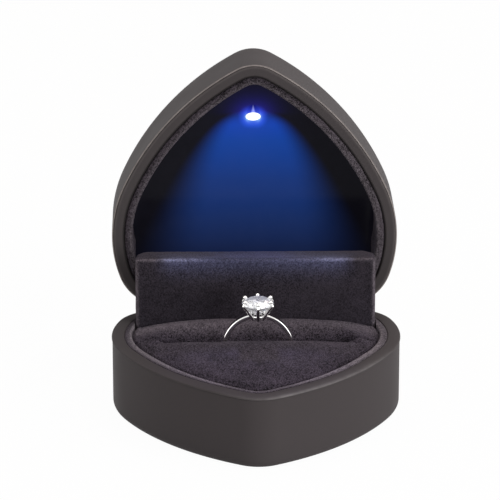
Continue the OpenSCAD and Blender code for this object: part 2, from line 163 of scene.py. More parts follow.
def new_object(name: str, mesh: Mesh) -> Thing:
    """Links a new object at the origin that shows a mesh.

    Args:
        name: the object's name.
        mesh: what it shows, in metres.

    Returns:
        The object.
    """
    thing = bpy.data.objects.new(name, mesh)
    bpy.context.scene.collection.objects.link(thing)
    return thing


def mend(mesh: Mesh, merge: float = 1e-6, thin: float = 0.0) -> None:
    """Merges doubles and turns the faces outwards.

    Args:
        mesh: mesh in metres.
        merge: distance in metres under which points become one.
        thin: size in metres under which edges and faces are dissolved, if any.
    """
    work = bmesh.new()
    work.from_mesh(mesh)
    bmesh.ops.remove_doubles(work, verts=work.verts, dist=merge)
    if thin:
        bmesh.ops.dissolve_degenerate(work, edges=work.edges, dist=thin)
    bmesh.ops.recalc_face_normals(work, faces=work.faces)
    work.to_mesh(mesh)
    work.free()


def mesh_from(name: str, points: np.ndarray, faces: Sequence[Sequence[int]]) -> Mesh:
    """Makes a closed mesh, in metres, from an (n, 3) array in millimetres and lists of corners.

    Args:
        name: the mesh's name.
        points: the vertices.
        faces: each face's corners as indices of points.

    Returns:
        The mesh, with its doubles merged and its faces turned outwards.
    """
    mesh = bpy.data.meshes.new(name)
    mesh.from_pydata((points * MM).tolist(), [], [list(f) for f in faces])
    mend(mesh, merge=2e-6, thin=1e-6)
    return mesh


def points_of(mesh: Mesh) -> np.ndarray:
    """Vertex positions of a mesh as an (n, 3) array.

    Args:
        mesh: any mesh.

    Returns:
        The positions in the mesh's own unit.
    """
    out = np.zeros(len(mesh.vertices) * 3)
    mesh.vertices.foreach_get("co", out)
    return out.reshape(-1, 3)


def set_points(mesh: Mesh, points: np.ndarray) -> None:
    """Writes vertex positions back to a mesh."""
    mesh.vertices.foreach_set("co", points.ravel())
    mesh.update()


def give_attribute(mesh: Mesh, name: str, values: np.ndarray) -> None:
    """Stores one number per vertex under a name that materials read."""
    layer = mesh.attributes.new(name, "FLOAT", "POINT")
    layer.data.foreach_set("value", np.asarray(values, np.float32))


def loft(rings: Sequence[np.ndarray], closed: bool = False) -> tuple[np.ndarray, list[list[int]]]:
    """Joins rings of equally many points.

    Args:
        rings: (n, 3) arrays in order.
        closed: joins the last ring to the first, and otherwise both get a flat face.

    Returns:
        The points and the faces.
    """
    count, around = len(rings), len(rings[0])
    faces: list[list[int]] = []
    for k in range(count if closed else count - 1):
        low, high = k * around, ((k + 1) % count) * around
        for i in range(around):
            j = (i + 1) % around
            faces.append([low + i, low + j, high + j, high + i])
    if not closed:
        faces.append(list(range(around))[::-1])
        faces.append([(count - 1) * around + i for i in range(around)])
    return np.concatenate(rings), faces


def bake_modifiers(thing: Thing) -> None:
    """Replaces a piece's mesh by its evaluated mesh and removes its modifiers.

    Args:
        thing: the piece, changed in place.
    """
    graph = bpy.context.evaluated_depsgraph_get()
    made = bpy.data.meshes.new_from_object(thing.evaluated_get(graph))
    thing.modifiers.clear()
    thing.data = made


def cut_block(thing: Thing, low: Sequence[float], high: Sequence[float]) -> None:
    """Cuts a box between two corners in millimetres out of a piece.

    Args:
        thing: the piece, changed in place.
        low: the corner with the least x, y and z.
        high: the corner opposite.
    """
    x, y, z = zip(low, high)
    points = np.array([(x[i], y[j], z[k]) for i in (0, 1) for j in (0, 1) for k in (0, 1)], float)
    faces = [(0, 1, 3, 2), (4, 6, 7, 5), (0, 4, 5, 1), (2, 3, 7, 6), (0, 2, 6, 4), (1, 5, 7, 3)]
    tool = new_object("cutter", mesh_from("cutter", points, faces))
    step = thing.modifiers.new("cut", "BOOLEAN")
    step.operation, step.solver, step.object = "DIFFERENCE", "EXACT", tool
    bake_modifiers(thing)
    bpy.data.objects.remove(tool)


def raise_pile(mesh: Mesh, lift: float, seed: float, share: np.ndarray | float = 1.0) -> None:
    """Moves every vertex along its normal by two scales of noise, as velvet pile stands.

    Args:
        mesh: mesh in metres.
        lift: largest movement in millimetres.
        seed: offset into the noise.
        share: part of the lift that each vertex gets.
    """
    tuft, patch = 0.6 * MM, 0.22
    normals = np.zeros(len(mesh.vertices) * 3)
    mesh.vertex_normals.foreach_get("vector", normals)
    points, fine, shift = points_of(mesh), 1.0 / tuft, Vector((seed, 2.0 * seed, -seed))
    tufts = [noise.noise(Vector(p) * fine + shift) for p in points]
    patches = [noise.noise(Vector(p) * (patch / tuft) - shift) for p in points]
    height = 0.6 * np.array(tufts) + 0.4 * np.array(patches)
    set_points(mesh, points + normals.reshape(-1, 3) * (height * share * lift * MM)[:, None])


def dress(thing: Thing, finish: Material) -> None:
    """Gives a piece one material in place of all it had."""
    thing.data.materials.clear()
    thing.data.materials.append(finish)


def settle(
    thing: Thing, finish: Material, node: str, body: Body, place: Matrix, sharp: float = 32.0
) -> Thing:
    """Puts a finished piece in its place.

    Args:
        thing: the piece, drawn at the origin.
        finish: its material.
        node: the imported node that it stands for.
        body: the body that it rides on.
        place: carries it into the row frame.
        sharp: angle in degrees over which its edges stay sharp.

    Returns:
        The same piece.
    """
    thing.data.transform(place)
    thing.data.polygons.foreach_set("use_smooth", [True] * len(thing.data.polygons))
    thing.data.set_sharp_from_angle(angle=math.radians(sharp))
    dress(thing, finish)
    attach(thing, body.value)
    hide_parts(node)
    LOG.info("%s: %d faces", thing.name, len(thing.data.polygons))
    return thing


@dataclass(frozen=True)
class Outline:
    """Plan of the box: a chain of tangent arcs, the rear face at y = 0 and the tip at -length.

    The base's rim and lip are drawn inwards round the tip, in steps that each hold a distance and
    the two y between which it comes in. The shift grows over wall_zone and again over lip_zone,
    which hold an inset and a width, and dies out over the insets in fade_in and the depths in fade_down.
    """

    width: float = 72.0
    length: float = 62.4
    tip_r: float = 9.8
    side_r: float = 66.4
    shoulder_r: float = 30.0
    corner_r: float = 11.6
    corner_from: float = 21.0
    rim_steps: tuple[tuple[float, float, float], ...] = ((0.35, -34.0, -24.0), (0.5, -56.0, -46.0))
    lip_steps: tuple[tuple[float, float, float], ...] = ((0.7, -26.0, -14.0), (0.75, -36.0, -22.0))
    lip_less: float = 0.35
    wall_zone: tuple[float, float] = (1.6, 1.6)
    lip_zone: tuple[float, float] = (3.24, 2.06)
    fade_in: tuple[float, float] = (6.8, 12.0)
    fade_down: tuple[float, float] = (2.0, 6.0)

    def arcs(self) -> list[tuple[tuple[float, float], float, float, float]]:
        """Centre, radius and the two end angles of each arc of the right half, from tip to rear.

        Returns:
            One tuple for each arc, in order.
        """
        turn = math.radians(self.corner_from)
        apart = self.shoulder_r - self.corner_r
        shoulder = (self.width / 2 - self.shoulder_r, -self.corner_r - apart * math.sin(turn))
        corner = (shoulder[0] + apart * math.cos(turn), shoulder[1] + apart * math.sin(turn))
        tip = (0.0, -self.length + self.tip_r)
        span = (shoulder[0] - tip[0], shoulder[1] - tip[1])
        gap = math.hypot(*span)
        a, b = self.side_r - self.tip_r, self.side_r - self.shoulder_r
        along = (a * a - b * b + gap * gap) / (2 * gap)
        off = math.sqrt(a * a - along * along)
        ux, uy = span[0] / gap, span[1] / gap
        side = (tip[0] + ux * along - uy * off, tip[1] + uy * along + ux * off)
        to_tip = math.atan2(tip[1] - side[1], tip[0] - side[0])
        to_shoulder = math.atan2(shoulder[1] - side[1], shoulder[0] - side[0])
        return [
            (tip, self.tip_r, -math.pi / 2, to_tip),
            (side, self.side_r, to_tip, to_shoulder),
            (shoulder, self.shoulder_r, to_shoulder, turn),
            (corner, self.corner_r, turn, math.pi / 2),
        ]

    def ring(self, inset: float, z: float = 0.0, spacing: float = 0.8) -> np.ndarray:
        """The closed outline, inset, at one height. Rings of one spacing match point by point.

        Args:
            inset: how far inside the outline the ring runs.
            z: its height.
            spacing: about how far apart its points lie.

        Returns:
            An (n, 3) array in millimetres, counterclockwise from the tip.
        """
        half: list[tuple[float, float]] = []
        for (cx, cy), radius, start, end in self.arcs():
            steps = max(2, math.ceil(radius * (end - start) / spacing))
            for i in range(steps):
                a = start + (end - start) * i / steps
                half.append((cx + (radius - inset) * math.cos(a), cy + (radius - inset) * math.sin(a)))
        (cx, cy), radius, _, _ = self.arcs()[-1]
        back = cy + radius - inset
        steps = max(2, math.ceil(2 * cx / spacing))
        rear = [(cx - 2 * cx * i / steps, back) for i in range(steps)]
        left = [(-x, y) for x, y in half[:0:-1]]
        return np.array([(x, y, z) for x, y in half + rear + [(-cx, back)] + left])

    def from_edge(self, points: np.ndarray, inset: float = 0.0) -> np.ndarray:
        """From above, the (x, y) step to each point from the nearest one of the inset outline.

        Args:
            points: array of points in millimetres, one to a row.
            inset: how far inside the outline the edge runs.

        Returns:
            An (n, 2) array in millimetres.
        """
        edge = self.ring(inset, spacing=EDGE_STEP)[:, :2]
        out = np.empty((len(points), 2))
        for i in range(0, len(points), BATCH):
            part = points[i : i + BATCH, None, :2] - edge[None]
            nearest = (part**2).sum(2).argmin(1)
            out[i : i + BATCH] = part[np.arange(len(part)), nearest]
        return out

    def depth_of(self, points: np.ndarray, inset: float = 0.0) -> np.ndarray:
        """How far each point lies inside the inset outline."""
        return np.sqrt((self.from_edge(points, inset) ** 2).sum(1))

    def draw_in(self, mesh: Mesh) -> None:
        """Draws the base's rim, lip and cushion inwards round the tip, where the moulding is thicker.

        The outer wall, the middle and what lies deep keep their place.

        Args:
            mesh: mesh in metres, the rim at z = 0.
        """
        points = points_of(mesh) / MM
        apart, y = self.from_edge(points), points[:, 1]
        inset = np.maximum(np.hypot(*apart.T), 1e-6)
        both = (self.rim_steps, self.lip_steps)
        rim, lip = (sum(step * fade(y, *zone) for step, *zone in steps) for steps in both)
        move = rim * np.clip((inset - self.wall_zone[0]) / self.wall_zone[1], 0.0, 1.0)
        move += (lip - self.lip_less - rim) * np.clip((inset - self.lip_zone[0]) / self.lip_zone[1], 0.0, 1.0)
        move *= fade(inset, *self.fade_in) * fade(-points[:, 2], *self.fade_down)
        points[:, :2] += apart / inset[:, None] * move[:, None]
        set_points(mesh, points * MM)

    def half_width(self, y: float, inset: float) -> float:
        """Half the width of the inset outline at y, on the side of the tip.

        Args:
            y: where the width is taken.
            inset: how far inside the outline the edge runs.

        Returns:
            The half width in millimetres.
        """
        edge = self.ring(inset, spacing=0.1)
        edge = edge[edge[:, 0] >= 0]
        edge = edge[np.argsort(edge[:, 1])]
        return float(np.interp(y, edge[:, 1], edge[:, 0]))

    def share_of(self, points: np.ndarray, inset: float, centre_y: float) -> np.ndarray:
        """By how much the inset outline, shrunk towards (0, centre_y), passes through each point.

        Args:
            points: array of points in millimetres, one to a row.
            inset: how far inside the outline the edge runs.
            centre_y: y of the point that it is shrunk towards.

        Returns:
            One number per point: 0 at that centre and 1 on the inset outline.
        """
        edge = self.ring(inset, spacing=0.2)[:, :2] - (0.0, centre_y)
        angle = np.arctan2(edge[:, 1], edge[:, 0])
        order = np.argsort(angle)
        away = points[:, :2] - (0.0, centre_y)
        at = np.arctan2(away[:, 1], away[:, 0])
        reach = np.interp(at, angle[order], np.hypot(*edge.T)[order], period=2 * math.pi)
        return np.hypot(*away.T) / reach


OUTLINE = Outline()


# ---------------------------------------------------------------------------------------------
# Materials


class Tree:
    """Adds and wires the nodes of one node tree."""

    def __init__(self, tree: bpy.types.NodeTree) -> None:
        """Takes the tree to add to."""
        self.tree = tree

    def put(self, socket: Socket, value: object) -> None:
        """Sets a socket to a constant or links it to another socket.

        Args:
            socket: the input.
            value: a constant, or the output to link.
        """
        if isinstance(value, Socket):
            self.tree.links.new(value, socket)
        else:
            socket.default_value = value

    def node(
        self, kind: str, links: dict[str | int, object] | None = None, **settings: object
    ) -> bpy.types.Node:
        """Adds a node, sets its properties, then sets or links its inputs.

        Args:
            kind: the node's type.
            links: constants or outputs, by the input's name or number.
            **settings: the node's properties.

        Returns:
            The node.
        """
        made = self.tree.nodes.new(kind)
        for name, value in settings.items():
            setattr(made, name, value)
        for name, value in (links or {}).items():
            self.put(made.inputs[name], value)
        return made

    def math(self, kind: str, a: object, b: object = 0.0) -> Socket:
        """One step of arithmetic."""
        return self.node("ShaderNodeMath", {0: a, 1: b}, operation=kind).outputs[0]

    def seen(self) -> Socket:
        """1 for rays that come from the eye, from gloss or through glass, and 0 for all others.

        Returns:
            The number.
        """
        path = self.node("ShaderNodeLightPath").outputs
        near = self.math("MAXIMUM", path["Is Camera Ray"], path["Is Glossy Ray"])
        return self.math("MAXIMUM", near, path["Is Transmission Ray"])


class Shader(Tree):
    """The nodes of one material, round a Principled shader."""

    def __init__(self, name: str) -> None:
        """Starts a material whose patterns read Object coordinates.

        Args:
            name: the material's name.
        """
        self.material = bpy.data.materials.new(name)
        self.material.use_nodes = True
        super().__init__(self.material.node_tree)
        self.tree.nodes.clear()
        self.skin = self.node("ShaderNodeBsdfPrincipled")
        self.end = self.node("ShaderNodeOutputMaterial", {"Surface": self.skin.outputs[0]})
        self.place = self.node("ShaderNodeTexCoord").outputs["Object"]

    def skin_is(self, **values: object) -> Material:
        """Sets the Principled shader's sockets, with underscores for spaces, and returns the material.

        Args:
            **values: constants or outputs, by the socket's name.

        Returns:
            The material.
        """
        for name, value in values.items():
            self.put(self.skin.inputs[name.replace("_", " ")], value)
        return self.material

    def axes(self) -> tuple[Socket, Socket, Socket]:
        """The distance from the plane X = 0 in millimetres, and Y and Z in metres."""
        x, y, z = self.node("ShaderNodeSeparateXYZ", {0: self.place}).outputs
        return self.math("ABSOLUTE", self.math("DIVIDE", x, MM)), y, z

    def stretched(self, scale: Sequence[float]) -> Socket:
        """Object coordinates, scaled."""
        return self.node("ShaderNodeMapping", {"Vector": self.place, "Scale": scale}).outputs[0]

    def noise(
        self,
        size_mm: float,
        detail: float = 2.0,
        rough: float = 0.5,
        at: Socket | None = None,
        warp: float = 0.0,
    ) -> Socket:
        """Noise from 0 to 1 with features of a size in millimetres.

        Args:
            size_mm: size of the features.
            detail: how many finer scales are added.
            rough: how strong those scales are.
            at: coordinates to use in place of Object coordinates.
            warp: how much the pattern is bent.

        Returns:
            The noise.
        """
        links = {"Vector": at or self.place, "Scale": 1.0 / (size_mm * MM), "Detail": detail}
        links.update({"Roughness": rough, "Distortion": warp})
        return self.node("ShaderNodeTexNoise", links).outputs[0]

    def cells(self, size_mm: float, at: Socket | None = None) -> bpy.types.Node:
        """Cells round scattered points, some millimetres apart."""
        return self.node("ShaderNodeTexVoronoi", {"Vector": at or self.place, "Scale": 1.0 / (size_mm * MM)})

    def specks(self, size_mm: float, at: Socket) -> Socket:
        """A number from 0 to 1 for each of many small tufts, each on its own."""
        colour = self.cells(size_mm, at).outputs["Color"]
        return self.node("ShaderNodeSeparateColor", {0: colour}).outputs[0]

    def span(
        self,
        value: object,
        low: float,
        high: float,
        to_low: float = 0.0,
        to_high: float = 1.0,
        eased: bool = False,
    ) -> Socket:
        """Maps a value from one range to another, clamped.

        Args:
            value: what is mapped.
            low: start of its range.
            high: end of its range.
            to_low: what the start becomes.
            to_high: what the end becomes.
            eased: eases out of the start and into the end.

        Returns:
            The mapped value.
        """
        links = dict(enumerate((value, low, high, to_low, to_high)))
        kind = "SMOOTHSTEP" if eased else "LINEAR"
        return self.node("ShaderNodeMapRange", links, interpolation_type=kind).outputs[0]

    def ramp(self, value: Socket, *stops: tuple[float, Colour]) -> Socket:
        """Colour ramp through (place, colour) stops.

        Args:
            value: place along the ramp.
            *stops: the stops, in order.

        Returns:
            The colour.
        """
        node = self.node("ShaderNodeValToRGB", {0: value})
        elements = node.color_ramp.elements
        while len(elements) < len(stops):
            elements.new(0.5)
        for element, (at, colour) in zip(elements, stops):
            element.position, element.color = at, (*colour, 1.0)
        return node.outputs[0]

    def blend(self, factor: object, a: object, b: object, mode: str = "MIX") -> Socket:
        """Mixes two colours.

        Args:
            factor: share of b.
            a: first colour.
            b: second colour.
            mode: how b is laid over a.

        Returns:
            The colour.
        """
        a, b = ((*value, 1.0) if isinstance(value, tuple) else value for value in (a, b))
        mix = self.node("ShaderNodeMix", {0: factor, 6: a, 7: b}, data_type="RGBA", blend_type=mode)
        return mix.outputs[2]

    def bump(self, height: Socket, depth_mm: float, strength: float = 1.0) -> Socket:
        """Normal that follows a height, of which 1 stands for a depth in millimetres."""
        links = {"Strength": strength, "Distance": depth_mm * MM, "Height": height}
        return self.node("ShaderNodeBump", links).outputs[0]

    def attribute(self, name: str) -> Socket:
        """A number that the mesh holds at each vertex."""
        return self.node("ShaderNodeAttribute", attribute_name=name).outputs["Fac"]

    def bloom(self, centre_z: float) -> Socket:
        """The glow round the lamp's lit face: cyan beside it, blue over some millimetres, violet farther out.

        Args:
            centre_z: height of the face's centre in metres.

        Returns:
            The colour of the glow.
        """
        side, _, z = self.axes()
        side = self.math("MAXIMUM", self.math("SUBTRACT", side, 0.85), 0.0)
        up = self.math("DIVIDE", self.math("SUBTRACT", z, centre_z), MM)
        square = self.math("ADD", self.math("POWER", side, 2.0), self.math("POWER", up, 2.0))
        off = self.math("MAXIMUM", self.math("SUBTRACT", self.math("SQRT", square), 1.0), 0.0)
        light = self.blend(self.span(off, 0.3, 2.3, 1.0, 0.0, eased=True), BLACK, (0.01, 0.035, 0.36))
        for fall, share, colour in (
            (0.27, 1.0, (0.2, 0.36, 0.2)),
            (1.8, self.span(up, 0.2, 1.4), (0.012, 0.012, 0.4)),
            (4.5, 1.0, (0.007, 0.006, 0.022)),
        ):
            near = self.math("MULTIPLY", self.math("EXPONENT", self.math("DIVIDE", off, -fall)), share)
            light = self.blend(1.0, light, self.blend(near, BLACK, colour), "ADD")
        return light


def tint(colour: Colour, by: float) -> Colour:
    """A colour made lighter or darker."""
    return tuple(c * by for c in colour)


@dataclass(frozen=True)
class SoftTouch:
    """Rubbery matte coat on moulded plastic, with a painted highlight along its edges and painted shade in
    its groove.
    """

    name: str = "soft_touch"
    colour: Colour = (0.0495, 0.0432, 0.0442)
    highlight_colour: Colour = (0.26, 0.232, 0.222)

    def make(self) -> Material:
        """Builds the material.

        Returns:
            The material.
        """
        s = Shader(self.name)
        cloud, speck = s.noise(11.0, 3.0, 0.55), s.noise(0.24, 2.0, 0.6)
        # Painted highlight: a pale colour laid on the rim's edges where light catches them, broken up a
        # little by noise.
        highlight_share = s.math("MULTIPLY", s.attribute("painted_highlight"), s.span(s.noise(2.4, 2.0, 0.5), 0.25, 0.6, 0.6, 1.0))
        base = s.ramp(cloud, (0.3, tint(self.colour, 0.98)), (0.7, tint(self.colour, 1.02)))
        base = s.blend(s.span(speck, 0.4, 0.75, 0.0, 0.08), base, tint(self.colour, 1.6))
        base = s.blend(highlight_share, base, self.highlight_colour)
        # Painted shade: a near-black colour laid in the groove and in the crease at the cavity's edge.
        base = s.blend(s.attribute("painted_shade"), base, tint(self.colour, 0.16))
        return s.skin_is(
            Base_Color=base,
            Roughness=s.span(cloud, 0.3, 0.7, 0.56, 0.61),
            Specular_IOR_Level=0.08,
            Normal=s.bump(speck, 0.005, 0.5),
        )


@dataclass(frozen=True)
class Velvet:
    """Short dense pile: dark between the tufts, pale where the light grazes them.

    A mesh attribute holds painted sheen: a pale pile colour laid on edges, folds and faces where the light
    catches them.
    """

    name: str
    pile: Colour = (0.034, 0.0275, 0.036)
    sheen_colour: Colour = (0.17, 0.145, 0.165)
    nap: tuple[float, float, float] = (1.0, 1.0, 0.8)
    grain: float = 0.23
    contrast: float = 1.0

    def make(self) -> Material:
        """Builds the material.

        Returns:
            The material.
        """
        s = Shader(self.name)
        along = s.stretched(self.nap)
        tuft = s.noise(self.grain, 4.0, 0.8, along)
        speck = s.math("ADD", s.specks(self.grain, along), s.specks(self.grain * 0.6, along))
        brushed = s.noise(8.0, 3.0, 0.55, warp=0.6)
        stand = s.math("ADD", s.math("MULTIPLY", speck, 0.36), s.span(tuft, 0.3, 0.7, 0.0, 0.28))
        shade = s.math("ADD", stand, s.span(brushed, 0.3, 0.7, -0.09, 0.09))
        low, high = tint(self.pile, 1.0 - self.contrast), tint(self.pile, 1.0 + self.contrast)
        # Painted sheen: the pale colour is laid on where the sheen attribute is set, broken up by the pile's
        # grain.
        edge = s.math("MULTIPLY", s.attribute("painted_sheen"), s.span(stand, 0.3, 0.7, 0.25, 1.0))
        edge = s.math("MULTIPLY", edge, s.span(s.noise(0.9, 2.0, 0.6, along), 0.36, 0.6, 0.6, 1.15))
        return s.skin_is(
            Base_Color=s.blend(edge, s.ramp(shade, (0.24, low), (0.76, high)), self.sheen_colour),
            Roughness=0.95,
            Specular_IOR_Level=0.08,
            Sheen_Weight=0.12,
            Sheen_Roughness=0.4,
            Sheen_Tint=(0.8, 0.7, 0.82, 1.0),
            Normal=s.bump(stand, 0.08, 0.6),
        )


@dataclass(frozen=True)
class LitCeiling:
    """Polished black plate with the pool of blue light that the lamp throws down it.

    slant turns height below the lamp into length along the plate, and shades holds the light's
    colours, each with its share of the way to reach.
    """

    name: str = "lit_ceiling"
    lamp_z: float = 62.45
    face_z: float = 61.9
    slant: float = 1.0038
    reach: float = 36.0
    shades: tuple[tuple[float, Colour], ...] = (
        (0.0, (0.003, 0.052, 0.46)),
        (0.1, (0.003, 0.049, 0.37)),
        (0.19, (0.003, 0.047, 0.3)),
        (0.47, (0.0055, 0.032, 0.178)),
        (0.75, (0.0075, 0.0235, 0.107)),
        (1.0, (0.0055, 0.012, 0.047)),
    )

    def make(self) -> Material:
        """Builds the material.

        Returns:
            The material.
        """
        s = Shader(self.name)
        side, _, z = s.axes()
        run = s.math("MULTIPLY", s.math("SUBTRACT", self.lamp_z * MM, z), self.slant / MM)
        root = s.math("POWER", s.math("MAXIMUM", s.math("ADD", run, 1.0), 0.0), 0.5)
        half = s.math("ADD", s.math("MULTIPLY", root, 3.34), 1.5)
        soft = s.math("ADD", s.math("MULTIPLY", run, 0.2), 2.4)
        rim = s.math("DIVIDE", s.math("SUBTRACT", half, side), soft)
        pool = s.math("MULTIPLY", s.span(rim, -1.0, 1.0, eased=True), s.span(run, -3.0, 3.0, eased=True))
        blue = s.ramp(s.span(run, 0.0, self.reach), *self.shades)
        return s.skin_is(
            Base_Color=s.ramp(s.noise(4.0), (0.3, (0.004, 0.004, 0.006)), (0.7, (0.006, 0.006, 0.009))),
            Roughness=s.span(s.noise(0.5, 2.0), 0.4, 0.7, 0.1, 0.16),
            Specular_IOR_Level=0.05,
            Emission_Color=s.blend(
                1.0, s.blend(pool, (0.0022, 0.002, 0.0034), blue), s.bloom(self.face_z * MM), "ADD"
            ),
            Emission_Strength=1.0,
            Normal=s.bump(s.noise(6.0, 1.0), 0.01, 0.4),
        )


@dataclass(frozen=True)
class LampGlow:
    """Lens lit white at its domed face, with a deep blue barrel that glows along its middle.

    root is the barrel's foot in metres, axis its direction, and face_at how far along it the face
    lies in millimetres.
    """

    face_at: float
    root: Vector
    axis: Vector
    name: str = "lamp_glow"

    def make(self) -> Material:
        """Builds the material.

        Returns:
            The material.
        """
        s = Shader(self.name)
        side, y, z = s.axes()
        out_y = s.math("MULTIPLY", s.math("SUBTRACT", y, self.root.y), self.axis.y / MM)
        out_z = s.math("MULTIPLY", s.math("SUBTRACT", z, self.root.z), self.axis.z / MM)
        out = s.math("ADD", out_y, out_z)
        face = s.span(out, self.face_at - 0.06, self.face_at + 0.02)
        fall = s.span(out, self.face_at - 2.3, self.face_at, 0.0, 1.0)
        streak = s.span(s.math("SUBTRACT", s.math("MULTIPLY", fall, 0.62), side), -0.1, 0.35)
        centre = self.root.z + self.axis.z * (self.face_at + 0.3) * MM
        body = s.blend(1.0, s.bloom(centre), s.blend(streak, BLACK, (0.27, 0.3, 0.5)), "ADD")
        frost = s.noise(0.3, 2.0)
        white = s.ramp(frost, (0.3, (0.96, 0.98, 1.0)), (0.7, WHITE))
        return s.skin_is(
            Base_Color=(0.01, 0.015, 0.04, 1.0),
            Roughness=0.35,
            Specular_IOR_Level=0.1,
            Emission_Color=s.blend(face, body, white),
            Emission_Strength=s.span(face, 0.0, 1.0, 1.0, 1.6),
            Normal=s.bump(frost, 0.01, 0.3),
        )


@dataclass(frozen=True)
class Metal:
    """Metal with fine drawn lines and a little unevenness in its polish."""

    name: str
    colour: Colour
    rough: float = 0.2
    lines_mm: float = 0.12
    along: tuple[float, float, float] = (0.08, 1.0, 1.0)
    depth_mm: float = 0.004

    def make(self) -> Material:
        """Builds the material.

        Returns:
            The material.
        """
        s = Shader(self.name)
        lines = s.noise(self.lines_mm, 3.0, 0.6, s.stretched(self.along))
        stain = s.noise(2.6, 3.0, 0.6)
        return s.skin_is(
            Base_Color=s.ramp(stain, (0.3, tint(self.colour, 0.93)), (0.7, tint(self.colour, 1.04))),
            Metallic=1.0,
            Roughness=s.span(stain, 0.3, 0.7, self.rough * 0.8, self.rough * 1.3),
            Normal=s.bump(lines, self.depth_mm, 0.5),
        )


@dataclass(frozen=True)
class CutStone:
    """Clear cut stone, with a faint painted glow that lifts its darker facets."""

    name: str = "cut_stone"

    def make(self) -> Material:
        """Builds the material.

        Returns:
            The material.
        """
        s = Shader(self.name)
        return s.skin_is(
            Base_Color=s.ramp(s.noise(0.8, 3.0, 0.6), (0.3, (0.97, 0.98, 1.0)), (0.8, WHITE)),
            Roughness=0.02,
            IOR=2.42,
            Transmission_Weight=0.84,
            # Painted glow: a faint grey-to-white emission lifts the dark facets.
            Emission_Color=s.ramp(s.noise(0.5, 3.0, 0.7), (0.35, (0.62, 0.62, 0.66)), (0.6, WHITE)),
            Emission_Strength=0.06,
        )


@dataclass(frozen=True)
class Grainy:
    """Plain matt stock with grain: foam, card, solder mask and moulded parts."""

    name: str
    colour: Colour
    grain_mm: float
    depth_mm: float
    rough: float
    contrast: float
    pores: bool = False

    def make(self) -> Material:
        """Builds the material.

        Returns:
            The material.
        """
        s = Shader(self.name)
        if self.pores:
            grain = s.cells(self.grain_mm).outputs["Distance"]
        else:
            grain = s.noise(self.grain_mm, 3.0, 0.65)
        cloud = s.noise(self.grain_mm * 12.0, 2.0)
        both = s.math("ADD", s.math("MULTIPLY", grain, 0.7), s.math("MULTIPLY", cloud, 0.3))
        low, high = tint(self.colour, 1.0 - self.contrast), tint(self.colour, 1.0 + self.contrast)
        return s.skin_is(
            Base_Color=s.ramp(both, (0.25, low), (0.75, high)),
            Roughness=s.span(cloud, 0.3, 0.7, self.rough * 0.92, self.rough),
            Normal=s.bump(grain, self.depth_mm, 0.6),
        )


# ---------------------------------------------------------------------------------------------
# Sub-assemblies


@dataclass(frozen=True)
class RimPoint:
    """One point of a shell's section: inset and depth below the rim, and how much painted highlight and
    painted shade it gets.
    """

    inset: float
    depth: float
    painted_highlight: float = 0.0
    painted_shade: float = 0.0


